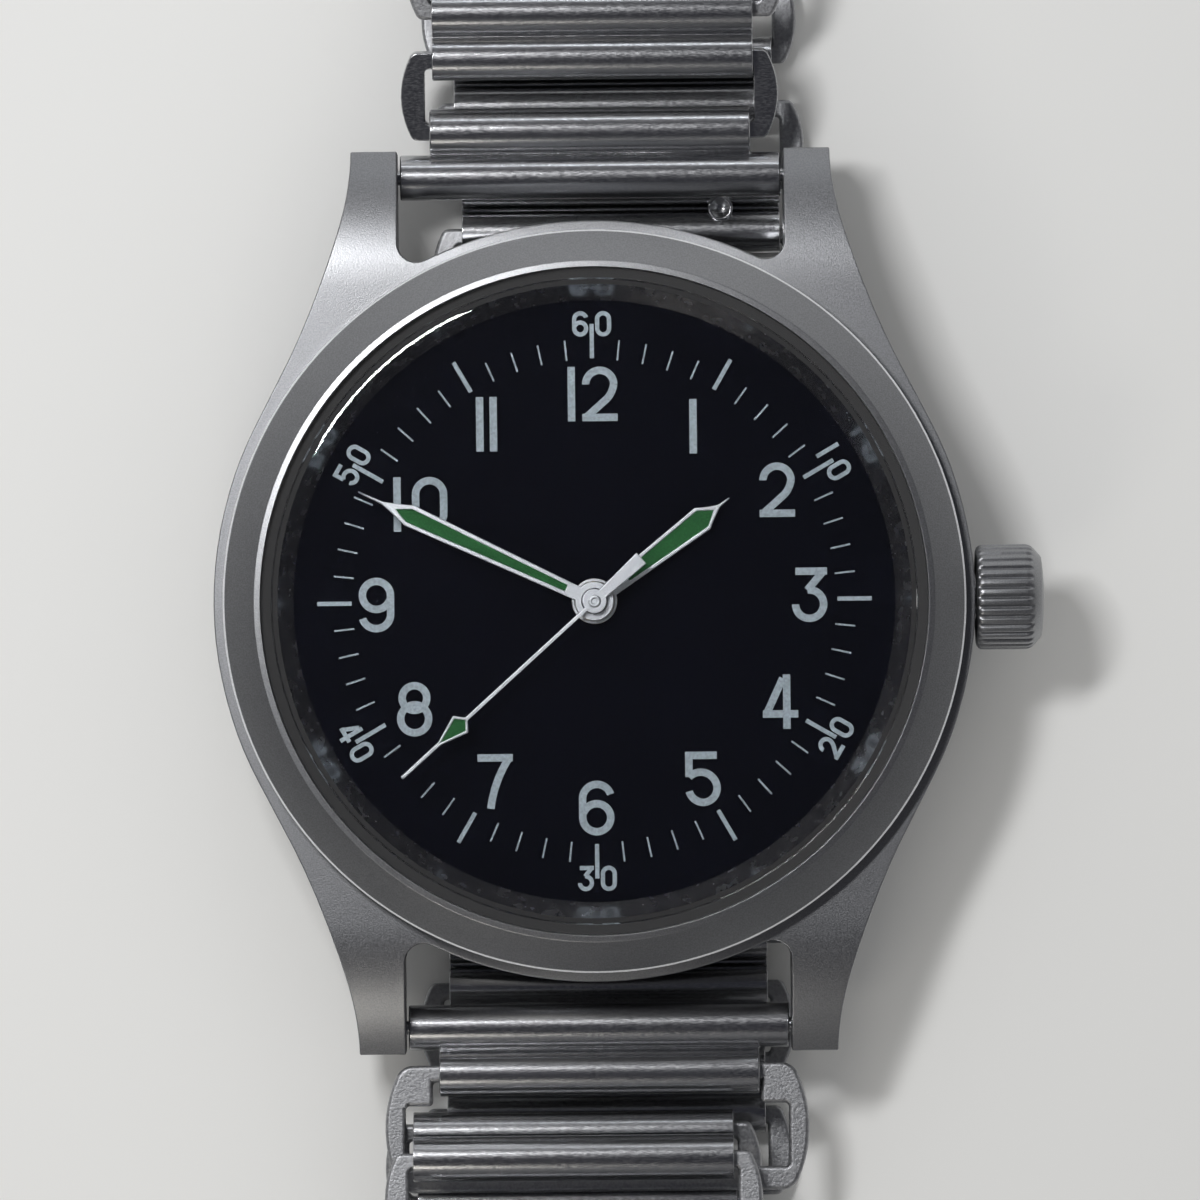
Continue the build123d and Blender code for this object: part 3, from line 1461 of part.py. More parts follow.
def end_link_sections(bar, angle):
    """The wide roll round a spring bar and the narrower pair of rolls it belongs to."""
    with BuildSketch(side_plane(bar, angle, -end_roll_width / 2)) as wide:
        Circle(roll_radius)
        Circle(roll_bore, mode=Mode.SUBTRACT)
    return wide.sketch, rolled_sheet(bar, angle, 0, end_pitch, slat_width)


wide_roll, narrow_rolls = end_link_sections(top_bar, end_rise)
with BuildPart() as end_link_12:
    extrude(wide_roll, amount=end_roll_width)
    extrude(narrow_rolls, amount=slat_width)
    extrude(plain_ring(top_end, front_rise, 0), amount=ring_plate / 2, both=True)
end_link_12.part.label = "end_link_12"
export_step(end_link_12.part, "parts/end_link_12.step")

wide_roll, narrow_rolls = end_link_sections(bottom_bar, 180 - end_fall)
with BuildPart() as end_link_6:
    extrude(wide_roll, amount=end_roll_width)
    extrude(narrow_rolls, amount=slat_width)
end_link_6.part.label = "end_link_6"
export_step(end_link_6.part, "parts/end_link_6.step")

# Front run past the 12 o'clock end link, and the turn down to the rear
build_link(
    "ladder_link_01", top_front, front_rise, half_taut_pitch, front_rise, drift_step, 2 * drift_step
)
build_link(
    "ladder_link_02",
    top_turn,
    top_turn_lean - 90,
    taut_pitch,
    top_turn_lean - 90,
    3 * drift_step,
    4 * drift_step,
)

# Rear run under the case: it slides sideways one way and back again within its rings' play
for k in range(2 * rear_links_each_side):
    slat_x = rear_drift_shares[k] * drift_step
    ring_x = (rear_drift_shares[k] + rear_drift_shares[k + 1]) / 2 * drift_step
    name = f"ladder_link_{k + 3:02d}"
    build_link(name, rear_bars[k], 180, taut_pitch, 180, slat_x, ring_x, rear_ring_span)

# Turn back up at 6 o'clock, and the return run to the clasp
turn_angle = angle_between(bottom_turn, rear_bars[-1])
with BuildPart() as turn_slat:
    first_roll = step(bottom_turn, turn_angle, roll_pull)
    turn_x = rear_drift_shares[-1] * drift_step
    section = rolled_sheet(first_roll, turn_angle, turn_x, roll_pitch, slat_width)
    extrude(section, amount=slat_width)
turn_slat.part.label = "turn_slat"
export_step(turn_slat.part, "parts/turn_slat.step")
build_link(
    "return_link_2",
    return_bars[2],
    return_angle,
    roll_pitch,
    return_angle,
    fold_drift + 3 * drift_step,
    fold_drift + 4 * drift_step,
)
build_link(
    "return_link_1",
    return_bars[0],
    return_angle,
    roll_pitch,
    return_angle,
    fold_drift + drift_step,
    fold_drift + 2 * drift_step,
)

# Clasp ring: broad shoulders round a bar in the end link, and an opening that the ladder comes through
clasp_angle = angle_between(bottom_end, clasp_end)
clasp_stop = clasp_span - clasp_bar / 2
with BuildPart() as clasp_ring:
    with BuildSketch(link_plane(bottom_end, clasp_angle, clasp_drift)):
        clasp_end_reach = clasp_span + clasp_bar / 2
        add(ring_blank(-clasp_top_bar / 2, clasp_end_reach, clasp_width, clasp_bow, clasp_corner))
        with Locations(((clasp_shoulder + clasp_stop) / 2, 0)):
            opening_length = clasp_stop - clasp_shoulder
            RectangleRounded(opening_length, clasp_opening, ring_inner_corner, mode=Mode.SUBTRACT)
        with Locations(((clasp_top_bar / 2 + clasp_stop) / 2, 0)):
            Rectangle(clasp_stop - clasp_top_bar / 2, ring_opening, mode=Mode.SUBTRACT)
    extrude(amount=clasp_plate / 2, both=True)
clasp_ring.part.label = "clasp_ring"
export_step(clasp_ring.part, "parts/clasp_ring.step")

with BuildPart() as fold_slat:
    extrude(rolled_sheet(fold_low, fold_tilt, fold_drift, roll_pitch, slat_width), amount=slat_width)
    extrude(plain_ring(fold_low_bar, fold_ring_angle, fold_drift), amount=ring_plate / 2, both=True)
fold_slat.part.label = "fold_slat"
export_step(fold_slat.part, "parts/fold_slat.step")

with BuildPart() as fold_ring:
    extrude(plain_ring(fold_high_bar, 180 - clip_slope, fold_drift), amount=ring_plate / 2, both=True)
fold_ring.part.label = "fold_ring"
export_step(fold_ring.part, "parts/fold_ring.step")

# Clip: a plate rolled round the last ring's bar, whose lip hooks over a slat of the return run
hooked_roll = return_bars[3]
lip_radius = roll_radius + clip_gap
with BuildPart() as clip:
    with BuildSketch(Plane.YZ.offset(fold_drift + 2 * drift_step - clip_width / 2)):
        with Locations(clip_bar):
            Circle(roll_radius)
        hook_top = (hooked_roll[0], hooked_roll[1] + lip_radius)
        with BuildLine():
            shank = Polyline(
                (clip_bar[0], clip_bar[1] + roll_radius - clip_plate),
                (clip_bar[0], clip_bar[1] + roll_radius),
                (clip_bar[0] - clip_shank, clip_bar[1] + roll_radius),
                (hook_top[0], hook_top[1] + clip_plate),
            )
            outer = ThreePointArc(
                shank @ 1,
                step(hooked_roll, 135, lip_radius + clip_plate),
                (hooked_roll[0] - lip_radius - clip_plate, hooked_roll[1]),
            )
            lip = Line(outer @ 1, (hooked_roll[0] - lip_radius, hooked_roll[1]))
            inner = ThreePointArc(lip @ 1, step(hooked_roll, 135, lip_radius), hook_top)
            Polyline(
                inner @ 1,
                (clip_bar[0] - clip_shank, clip_bar[1] + roll_radius - clip_plate),
                shank @ 0,
            )
        make_face()
        with Locations(clip_bar):
            Circle(roll_bore, mode=Mode.SUBTRACT)
    extrude(amount=clip_width)
clip.part.label = "clip"
export_step(clip.part, "parts/clip.step")
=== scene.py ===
from math import atan2, cos, pi, radians, sin, sqrt

import bmesh
import bpy
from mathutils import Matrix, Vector


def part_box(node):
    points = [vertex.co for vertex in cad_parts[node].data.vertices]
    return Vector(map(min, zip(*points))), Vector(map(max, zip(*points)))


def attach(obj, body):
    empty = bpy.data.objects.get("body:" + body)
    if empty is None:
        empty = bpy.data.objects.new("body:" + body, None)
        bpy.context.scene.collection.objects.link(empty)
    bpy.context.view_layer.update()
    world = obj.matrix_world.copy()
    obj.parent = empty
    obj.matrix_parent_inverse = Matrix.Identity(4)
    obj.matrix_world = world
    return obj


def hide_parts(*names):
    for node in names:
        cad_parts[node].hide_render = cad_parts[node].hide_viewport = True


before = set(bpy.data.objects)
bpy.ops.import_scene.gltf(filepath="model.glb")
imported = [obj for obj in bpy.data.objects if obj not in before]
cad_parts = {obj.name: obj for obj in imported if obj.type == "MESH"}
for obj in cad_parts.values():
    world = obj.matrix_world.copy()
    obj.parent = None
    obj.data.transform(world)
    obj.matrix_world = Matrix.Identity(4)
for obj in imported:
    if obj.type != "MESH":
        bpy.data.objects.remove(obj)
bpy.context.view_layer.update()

# A field watch lying flat: +X points at the crown, +Y at 12 o'clock and +Z up, all in metres.
MM = 0.001

# The photographer's camera looks straight down at the dial from a little over half a metre,
# so the watch hardly changes size with height. The watch lies a little turned in the frame.
camera_height = 560 * MM
frame_width = 56.6 * MM
frame_turn = radians(-0.6)
sensor_width = 36
dial_middle = Vector((0.26 * MM, 0.05 * MM, 9 * MM))
camera_data = bpy.data.cameras.new("camera")
camera_data.sensor_width = sensor_width
camera_data.lens = sensor_width * camera_height / frame_width
camera_data.clip_start = 10 * MM
camera = bpy.data.objects.new("camera", camera_data)
camera.location = dial_middle + Vector((0, 0, camera_height))
camera.rotation_euler = (0, 0, frame_turn)
bpy.context.collection.objects.link(camera)
bpy.context.scene.camera = camera
bpy.context.scene.view_settings.view_transform = "Standard"

# Studio: a pale room for the camera. The metal and the glass see a dark ceiling, with a pale
# window low on the 12 o'clock side and a dim wall on the other, as under a black card.
low_sky = 0.05
middle_sky = 0.6
high_sky = 0.85
window_colour = (1, 1, 1, 1)
wall_foot_colour = (0.04, 0.04, 0.043, 1)
wall_middle_colour = (0.19, 0.19, 0.195, 1)
ceiling_colour = (0.035, 0.036, 0.045, 1)
room_brightness = 0.42
backdrop_colour = (0.86, 0.86, 0.86, 1)
window_narrowness = 3
world = bpy.data.worlds.new("studio")
bpy.context.scene.world = world
world.use_nodes = True
tree = world.node_tree
tree.nodes.clear()
sky_place = tree.nodes.new("ShaderNodeTexCoord")
sky_parts = tree.nodes.new("ShaderNodeSeparateXYZ")
window_ramp = tree.nodes.new("ShaderNodeValToRGB")
wall_ramp = tree.nodes.new("ShaderNodeValToRGB")
for ramp, foot_colour in ((window_ramp, window_colour), (wall_ramp, wall_foot_colour)):
    foot, top = ramp.color_ramp.elements
    foot.position = low_sky
    foot.color = foot_colour
    top.position = high_sky
    top.color = ceiling_colour
wall_ramp.color_ramp.elements.new(middle_sky).color = wall_middle_colour
window_side = tree.nodes.new("ShaderNodeMapRange")
window_side.inputs["From Min"].default_value = -1
window_share = tree.nodes.new("ShaderNodeMath")
window_share.operation = "POWER"
window_share.inputs[1].default_value = window_narrowness
sky = tree.nodes.new("ShaderNodeMix")
sky.data_type = "RGBA"
mirrored_light = tree.nodes.new("ShaderNodeBackground")
room_light = tree.nodes.new("ShaderNodeBackground")
room_light.inputs["Color"].default_value = (1, 1, 1, 1)
room_light.inputs["Strength"].default_value = room_brightness
pale_backdrop = tree.nodes.new("ShaderNodeBackground")
pale_backdrop.inputs["Color"].default_value = backdrop_colour
ray = tree.nodes.new("ShaderNodeLightPath")
mirrored = tree.nodes.new("ShaderNodeMath")
mirrored.operation = "MAXIMUM"
room_or_mirrored = tree.nodes.new("ShaderNodeMixShader")
world_light = tree.nodes.new("ShaderNodeMixShader")
world_out = tree.nodes.new("ShaderNodeOutputWorld")
tree.links.new(sky_place.outputs["Generated"], sky_parts.inputs["Vector"])
tree.links.new(sky_parts.outputs["Z"], window_ramp.inputs["Fac"])
tree.links.new(sky_parts.outputs["Z"], wall_ramp.inputs["Fac"])
tree.links.new(sky_parts.outputs["Y"], window_side.inputs["Value"])
tree.links.new(window_side.outputs["Result"], window_share.inputs[0])
tree.links.new(window_share.outputs["Value"], sky.inputs["Factor"])
tree.links.new(wall_ramp.outputs["Color"], sky.inputs["A"])
tree.links.new(window_ramp.outputs["Color"], sky.inputs["B"])
tree.links.new(sky.outputs["Result"], mirrored_light.inputs["Color"])
tree.links.new(ray.outputs["Is Glossy Ray"], mirrored.inputs[0])
tree.links.new(ray.outputs["Is Transmission Ray"], mirrored.inputs[1])
tree.links.new(mirrored.outputs["Value"], room_or_mirrored.inputs["Fac"])
tree.links.new(room_light.outputs["Background"], room_or_mirrored.inputs[1])
tree.links.new(mirrored_light.outputs["Background"], room_or_mirrored.inputs[2])
tree.links.new(ray.outputs["Is Camera Ray"], world_light.inputs["Fac"])
tree.links.new(room_or_mirrored.outputs["Shader"], world_light.inputs[1])
tree.links.new(pale_backdrop.outputs["Background"], world_light.inputs[2])
tree.links.new(world_light.outputs["Shader"], world_out.inputs["Surface"])


def soft_box(name, place, width, height, power, colour=(1, 1, 1), aim=(0, 0, 0), beam=180):
    """A rectangular lamp that faces a point of the watch."""
    data = bpy.data.lights.new(name, "AREA")
    data.shape = "RECTANGLE"
    data.size = width
    data.size_y = height
    data.energy = power
    data.color = colour
    data.spread = radians(beam)
    lamp = bpy.data.objects.new(name, data)
    lamp.location = place
    lamp.rotation_euler = (Vector(aim) - Vector(place)).to_track_quat("-Z", "Y").to_euler()
    lamp.visible_camera = False
    bpy.context.collection.objects.link(lamp)


# The key lamp lights the case and draws a thin arc in the crystal's rim. The strip grazes the
# bracelet at 12 o'clock, and the low lamp warms the near side of its rolls.
soft_box("key_box", place=(-0.049, 0.054, 0.164), width=0.048, height=0.018, power=0.152)
soft_box(
    "top_strip",
    place=(0.02, 0.50, 0.31),
    width=0.60,
    height=0.022,
    power=0.0019,
    colour=(0.92, 0.96, 1),
    aim=(0, 0.028, 0),
    beam=10,
)
soft_box(
    "low_box",
    place=(-0.03, -0.085, 0.08),
    width=0.035,
    height=0.02,
    power=0.012,
    colour=(1, 0.95, 0.86),
    aim=(-0.008, 0.02, 0),
)

# Floor: a plain pale table that the bracelet lies on, with a matte painted top. It belongs to the
# studio and not to the watch.
floor_reach = 1.5
floor_shape = bmesh.new()
bmesh.ops.create_grid(floor_shape, x_segments=1, y_segments=1, size=floor_reach)
floor_mesh = bpy.data.meshes.new("floor")
floor_shape.to_mesh(floor_mesh)
floor_shape.free()
floor = bpy.data.objects.new("floor", floor_mesh)
bpy.context.collection.objects.link(floor)
floor_finish = bpy.data.materials.new("pale_table")
floor_finish.use_nodes = True
floor_shader = floor_finish.node_tree.nodes["Principled BSDF"]
floor_shader.inputs["Base Color"].default_value = (0.80, 0.80, 0.79, 1)
floor_shader.inputs["Roughness"].default_value = 0.9
floor_shader.inputs["Specular IOR Level"].default_value = 0.2
floor_mesh.materials.append(floor_finish)


# Mid case: one piece of steel with four lugs, milled, then blasted with glass beads to a
# fine matte grain. Its edges are left with a small bright break.
def new_finish(name, colour, metallic, roughness):
    """A material with its plain colour set, its node tree and its shader."""
    finish = bpy.data.materials.new(name)
    finish.use_nodes = True
    shader = finish.node_tree.nodes["Principled BSDF"]
    shader.inputs["Base Color"].default_value = (*colour, 1)
    shader.inputs["Metallic"].default_value = metallic
    shader.inputs["Roughness"].default_value = roughness
    return finish, finish.node_tree, shader


def grain(tree, size, detail=2):
    """Noise whose grains have this size along X, Y and Z."""
    place = tree.nodes.new("ShaderNodeTexCoord")
    grain_frame = tree.nodes.new("ShaderNodeMapping")
    grain_frame.vector_type = "TEXTURE"
    grain_frame.inputs["Scale"].default_value = size
    noise = tree.nodes.new("ShaderNodeTexNoise")
    noise.inputs["Scale"].default_value = 1
    noise.inputs["Detail"].default_value = detail
    tree.links.new(place.outputs["Object"], grain_frame.inputs["Vector"])
    tree.links.new(grain_frame.outputs["Vector"], noise.inputs["Vector"])
    return noise.outputs["Fac"]


def spread(tree, value, low, high):
    """Stretch the middle of a noise, where nearly all of it lies, between two values."""
    span = tree.nodes.new("ShaderNodeMapRange")
    span.inputs["From Min"].default_value = 0.35
    span.inputs["From Max"].default_value = 0.65
    span.inputs["To Min"].default_value = low
    span.inputs["To Max"].default_value = high
    tree.links.new(value, span.inputs["Value"])
    return span.outputs["Result"]


def blend_colours(tree, value, first, second):
    """A colour that moves from the first to the second with a value."""
    mix = tree.nodes.new("ShaderNodeMix")
    mix.data_type = "RGBA"
    mix.inputs["A"].default_value = (*first, 1)
    mix.inputs["B"].default_value = (*second, 1)
    tree.links.new(value, mix.inputs["Factor"])
    return mix.outputs["Result"]


def raise_grain(tree, shader, value, height):
    """A bump of this height from a noise."""
    bump = tree.nodes.new("ShaderNodeBump")
    bump.inputs["Distance"].default_value = height
    bump.inputs["Strength"].default_value = 1
    tree.links.new(value, bump.inputs["Height"])
    tree.links.new(bump.outputs["Normal"], shader.inputs["Normal"])


def metal(name, dark, light, roughness, grain_size, height):
    """A metal whose colour, roughness and relief all follow one grain."""
    smoothest, roughest = roughness
    finish, tree, shader = new_finish(name, light, 1, smoothest)
    fine = grain(tree, grain_size, 3)
    tint = blend_colours(tree, spread(tree, fine, 0, 1), dark, light)
    tree.links.new(tint, shader.inputs["Base Color"])
    tree.links.new(spread(tree, fine, smoothest, roughest), shader.inputs["Roughness"])
    raise_grain(tree, shader, fine, height)
    return finish


def keep_node(node, finish):
    """A solid that stays as it is and takes a finish."""
    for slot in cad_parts[node].material_slots:
        slot.material = finish


def add_piece(name, shape, body, finish, nodes=()):
    """An object of a shape, with its body, its finish and the solids it stands for."""
    mesh = bpy.data.meshes.new(name)
    shape.to_mesh(mesh)
    shape.free()
    mesh.shade_smooth()
    mesh.materials.append(finish)
    piece = bpy.data.objects.new(name, mesh)
    bpy.context.collection.objects.link(piece)
    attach(piece, body)
    if nodes:
        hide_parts(*nodes)
    return piece


weld_distance = 0.001 * MM
flat_angle = radians(1)


def solid_shape(node):
    """A merged copy of a solid, with its flat faces whole again."""
    shape = bmesh.new()
    shape.from_mesh(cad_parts[node].data)
    bmesh.ops.remove_doubles(shape, verts=shape.verts, dist=weld_distance)
    bmesh.ops.dissolve_limit(
        shape, angle_limit=flat_angle, verts=shape.verts, edges=shape.edges, delimit={"NORMAL"}
    )
    return shape


def mark_sharp(piece, angle):
    """Shade a piece smooth but for the edges that are sharper than this many degrees."""
    if "custom_normal" in piece.data.attributes:
        piece.data.attributes.remove(piece.data.attributes["custom_normal"])
    piece.data.set_sharp_from_angle(angle=radians(angle))


def break_edges(piece, width, segments, angle):
    """Round the sharp edges of a piece."""
    bevel = piece.modifiers.new("edge", "BEVEL")
    bevel.width = width
    bevel.segments = segments
    bevel.limit_method = "ANGLE"
    bevel.angle_limit = radians(angle)
    bevel.use_clamp_overlap = False
    bevel.harden_normals = True


def dress(name, node, body, finish, edge, segments=2):
    """A copy of a solid with its edges rounded."""
    piece = add_piece(name, solid_shape(node), body, finish, [node])
    mark_sharp(piece, 35)
    break_edges(piece, edge, segments, 35)


blasted = metal(
    "blasted_steel",
    dark=(0.27, 0.275, 0.285),
    light=(0.34, 0.345, 0.36),
    roughness=(0.34, 0.42),
    grain_size=(0.07 * MM, 0.07 * MM, 0.07 * MM),
    height=0.007 * MM,
)
dress("case_body", "mid_case", "case", blasted, 0.07 * MM)

# Case back: a steel lid turned on a lathe and blasted like the case. It screws in from the wrist's
# side and presses on its own seal.
dress("case_lid", "case_back", "case", blasted, 0.04 * MM)

# Bezel: a steel ring turned on a lathe, blasted like the case and pressed on it. Its wide slope
# ends in a narrow land inside, nearly level, that holds the crystal.
def spun(outline, steps, x=0, y=0):
    """A cross-section of radii and heights, spun round an upright axis."""
    shape = bmesh.new()
    corners = [shape.verts.new((x + radius, y, height)) for radius, height in outline]
    last_corner = corners[-1]
    for corner in corners:
        if max(corner.co.x, last_corner.co.x) > x:
            shape.edges.new((last_corner, corner))
        last_corner = corner
    section = shape.verts[:] + shape.edges[:]
    bmesh.ops.spin(
        shape,
        geom=section,
        cent=(x, y, 0),
        axis=(0, 0, 1),
        angle=2 * pi,
        steps=steps,
        use_merge=True,
    )
    bmesh.ops.remove_doubles(shape, verts=shape.verts, dist=weld_distance)
    bmesh.ops.recalc_face_normals(shape, faces=shape.faces)
    return shape


def turned(name, outline, finish, node, edge):
    """A piece of the case spun round the dial's axis from its cross-section, with rounded edges."""
    piece = add_piece(name, spun(outline, 180), "case", finish, [node])
    mark_sharp(piece, 15)
    break_edges(piece, edge, 3, 15)
    return piece


bezel_low, bezel_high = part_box("bezel")
bezel_foot = bezel_low[2]
bezel_top = bezel_high[2]
bezel_radius = bezel_high[0]
bezel_skirt = 0.85 * MM
bezel_lip = 0.09 * MM
bezel_undercut = 0.18 * MM
bezel_land = 0.3 * MM
bezel_land_drop = 0.05 * MM
bezel_rim = bezel_radius - 1.5 * MM
glass_seat = bezel_rim - bezel_land
bezel_bore = bezel_rim - 0.7 * MM
seal_level = bezel_foot + 0.85 * MM
bezel_outline = [
    (bezel_bore, bezel_foot),
    (bezel_radius - bezel_undercut, bezel_foot),
    (bezel_radius, bezel_foot + bezel_undercut),
    (bezel_radius, bezel_foot + bezel_skirt - bezel_lip),
    (bezel_radius - bezel_lip, bezel_foot + bezel_skirt),
    (bezel_rim, bezel_top - bezel_land_drop),
    (glass_seat, bezel_top),
    (glass_seat, seal_level),
    (bezel_bore, seal_level),
]
bezel_ring = turned("bezel_ring", bezel_outline, blasted, "bezel", 0.03 * MM)

# The bezel's lip, just above its upright skirt, is left bright from the lathe, and its finish is
# painted pale
# and half diffuse: a painted highlight that shows as a thin pale line round the case.
lip_painted_highlight = metal(
    "lip_steel",
    dark=(0.80, 0.81, 0.83),
    light=(0.90, 0.91, 0.93),
    roughness=(0.5, 0.6),
    grain_size=(0.1 * MM, 0.1 * MM, 0.1 * MM),
    height=0.001 * MM,
)
# Half of the lip's pale colour is diffuse, so this painted highlight shows under any lamp.
lip_painted_highlight.node_tree.nodes["Principled BSDF"].inputs["Metallic"].default_value = 0.5
bezel_ring.data.materials.append(lip_painted_highlight)
lip_radius = bezel_radius - bezel_lip / 2
for face in bezel_ring.data.polygons:
    out = sqrt(face.center.x**2 + face.center.y**2)
    high_enough = face.center.z > bezel_foot + bezel_skirt / 2
    if high_enough and abs(out - lip_radius) < bezel_lip / 3:
        face.material_index = 1

# Crystal: a clear acrylic dome, moulded and polished, with a rounded rim and a step round its
# edge. It is pressed in on its seal.
clear, clear_tree, clear_shader = new_finish("clear_glass", (1, 1, 1), 0, 0)
clear_shader.inputs["Transmission Weight"].default_value = 1
clear_shader.inputs["IOR"].default_value = 1.49
clear_shader.inputs["Specular IOR Level"].default_value = 0.3
lamp_ray = clear_tree.nodes.new("ShaderNodeLightPath")
open_way = clear_tree.nodes.new("ShaderNodeBsdfTransparent")
way = clear_tree.nodes.new("ShaderNodeMixShader")
clear_out = clear_tree.nodes["Material Output"]
clear_tree.links.new(lamp_ray.outputs["Is Shadow Ray"], way.inputs["Fac"])
clear_tree.links.new(clear_shader.outputs["BSDF"], way.inputs[1])
clear_tree.links.new(open_way.outputs["BSDF"], way.inputs[2])
clear_tree.links.new(way.outputs["Shader"], clear_out.inputs["Surface"])
glass_low, glass_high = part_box("crystal")
glass_foot = glass_low[2]
glass_radius = glass_high[0]
glass_step = 0.5 * MM
glass_shoulder = glass_foot + 1.35 * MM
glass_rim = glass_radius - glass_step
glass_under_edge = bezel_bore - glass_step
glass_dome = 1.0 * MM
glass_rings = 12
turn_radius = 2 * MM
turn_start = radians(6.5)
turn_end = radians(20)


def dome(edge, foot, rise):
    """Points of a shallow dome, from its edge to its middle."""
    ball = (edge**2 + rise**2) / (2 * rise)
    places = [edge * (1 - ring / glass_rings) for ring in range(glass_rings + 1)]
    return [(place, foot + rise - ball + sqrt(ball**2 - place**2)) for place in places]


def rim_point(turn):
    """A point of the rounded rim, from its outer edge inward, where the glass leans this much."""
    inward = turn_radius * (sin(turn_end) - sin(turn))
    upward = turn_radius * (cos(turn) - cos(turn_end))
    return glass_rim - inward, glass_shoulder + upward


glass_outline = dome(glass_under_edge, glass_foot, glass_dome)[::-1]
glass_outline += [(glass_radius, glass_foot), (glass_radius, glass_shoulder - glass_step)]
glass_outline += [(glass_rim, glass_shoulder - glass_step / 2)]
for step in range(glass_rings):
    glass_outline += [rim_point(turn_end + (turn_start - turn_end) * step / glass_rings)]
dome_edge, dome_foot = rim_point(turn_start)
glass_outline += dome(dome_edge, dome_foot, glass_high[2] - dome_foot)
turned("crystal_dome", glass_outline, clear, "crystal", 0.07 * MM)

# Seals: black moulded rubber rings, one under the crystal's edge and one under the case back's,
# pressed flat when these are closed.
rubber, rubber_tree, rubber_shader = new_finish("black_rubber", (0.02, 0.02, 0.022), 0, 0.6)
rubber_grain = grain(rubber_tree, (0.1 * MM, 0.1 * MM, 0.1 * MM))
raise_grain(rubber_tree, rubber_shader, rubber_grain, 0.01 * MM)
keep_node("crystal_gasket", rubber)
keep_node("case_back_gasket", rubber)

# Dial ring: a finely turned steel cone that holds the dial down and dimly mirrors its edge. The
# crown's tube, pressed in the case, has the same finish.
mirror = metal(
    "mirror_steel",
    dark=(0.38, 0.38, 0.40),
    light=(0.42, 0.42, 0.44),
    roughness=(0.24, 0.28),
    grain_size=(0.6 * MM, 0.6 * MM, 0.6 * MM),
    height=0.0001 * MM,
)
dial_ring_low, dial_ring_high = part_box("dial_ring")
dial_ring_edge = dial_ring_high[0]
dial_ring_foot_width = 1.13 * MM
dial_ring_top_width = 0.33 * MM
dial_ring_outline = [
    (dial_ring_edge - dial_ring_foot_width, dial_ring_low[2]),
    (dial_ring_edge, dial_ring_low[2]),
    (dial_ring_edge, dial_ring_high[2]),
    (dial_ring_edge - dial_ring_top_width, dial_ring_high[2]),
]
turned("dial_ring_cone", dial_ring_outline, mirror, "dial_ring", 0.02 * MM)
keep_node("crown_tube", mirror)

# Dial: a stamped brass blank lacquered black, with a fine grain in the lacquer. It lies under the
# dial ring, which holds its edge.
lacquer_colour = (0.001, 0.0012, 0.0026)
lacquer, lacquer_tree, lacquer_shader = new_finish("black_lacquer", lacquer_colour, 0, 0.14)
lacquer_shader.inputs["Specular IOR Level"].default_value = 0.1
lacquer_grain = grain(lacquer_tree, (0.06 * MM, 0.06 * MM, 0.06 * MM))
raise_grain(lacquer_tree, lacquer_shader, lacquer_grain, 0.0003 * MM)
keep_node("dial", lacquer)

# Printing: pale grey-blue ink, pad-printed on the lacquer, so that it stands a little proud and
# is slightly uneven.
thin_ink = (0.13, 0.16, 0.185)
thick_ink = (0.20, 0.24, 0.27)
ink, ink_tree, ink_shader = new_finish("pale_ink", (0.16, 0.195, 0.22), 0, 0.6)
ink_grain = grain(ink_tree, (0.12 * MM, 0.12 * MM, 0.12 * MM), detail=6)
ink_tint = blend_colours(ink_tree, spread(ink_tree, ink_grain, 0, 1), thin_ink, thick_ink)
ink_tree.links.new(ink_tint, ink_shader.inputs["Base Color"])
raise_grain(ink_tree, ink_shader, ink_grain, 0.004 * MM)
keep_node("dial_printing", ink)

# Hands: stamped steel with a fine grey shine and rounded rails, pressed on the pipes and the
# arbor in the middle of the dial.
for hand, body in (("hour_hand", "hours"), ("minute_hand", "minutes"), ("second_hand", "seconds")):
    silver = metal(
        f"{hand}_steel",
        dark=(0.40, 0.42, 0.45),
        light=(0.48, 0.50, 0.53),
        roughness=(0.34, 0.44),
        grain_size=(0.07 * MM, 0.07 * MM, 0.07 * MM),
        height=0.002 * MM,
    )
    silver.node_tree.nodes["Principled BSDF"].inputs["Metallic"].default_value = 0.9
    dress(f"{hand}_blade", hand, body, silver, 0.045 * MM)

# Lume: green luminous paint with a coarse matte grain, laid wet in the windows of the hands and
# dried there.
dark_lume = (0.006, 0.045, 0.012)
light_lume = (0.013, 0.072, 0.021)
lume, lume_tree, lume_shader = new_finish("green_lume", (0.009, 0.058, 0.016), 0, 0.75)
lume_shader.inputs["Specular IOR Level"].default_value = 0.1
lume_grain = grain(lume_tree, (0.08 * MM, 0.08 * MM, 0.08 * MM), detail=5)
lume_tint = blend_colours(lume_tree, spread(lume_tree, lume_grain, 0, 1), dark_lume, light_lume)
lume_tree.links.new(lume_tint, lume_shader.inputs["Base Color"])
raise_grain(lume_tree, lume_shader, lume_grain, 0.008 * MM)
for node in ("hour_lume", "minute_lume", "second_lume"):
    keep_node(node, lume)

# Crown: a steel knob turned with a cone and a low dome at its end, then milled with flutes for
# the fingers, and screwed on the stem. Its bore slides over the tube in the case.
crown_low, crown_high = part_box("crown")
crown_start = crown_low[0]
crown_radius = crown_high[1]
crown_axis_height = (crown_low[2] + crown_high[2]) / 2
crown_bore = 1.75 * MM
crown_bore_depth = 1.9 * MM
flute_depth = 0.15 * MM
flute_count = 32
points_each_flute = 12
flute_shares = [1, 0.9, 0.55, 0.12, 0, 0, 0, 0, 0, 0.12, 0.55, 0.9]
smallest_ring = 0.002 * MM
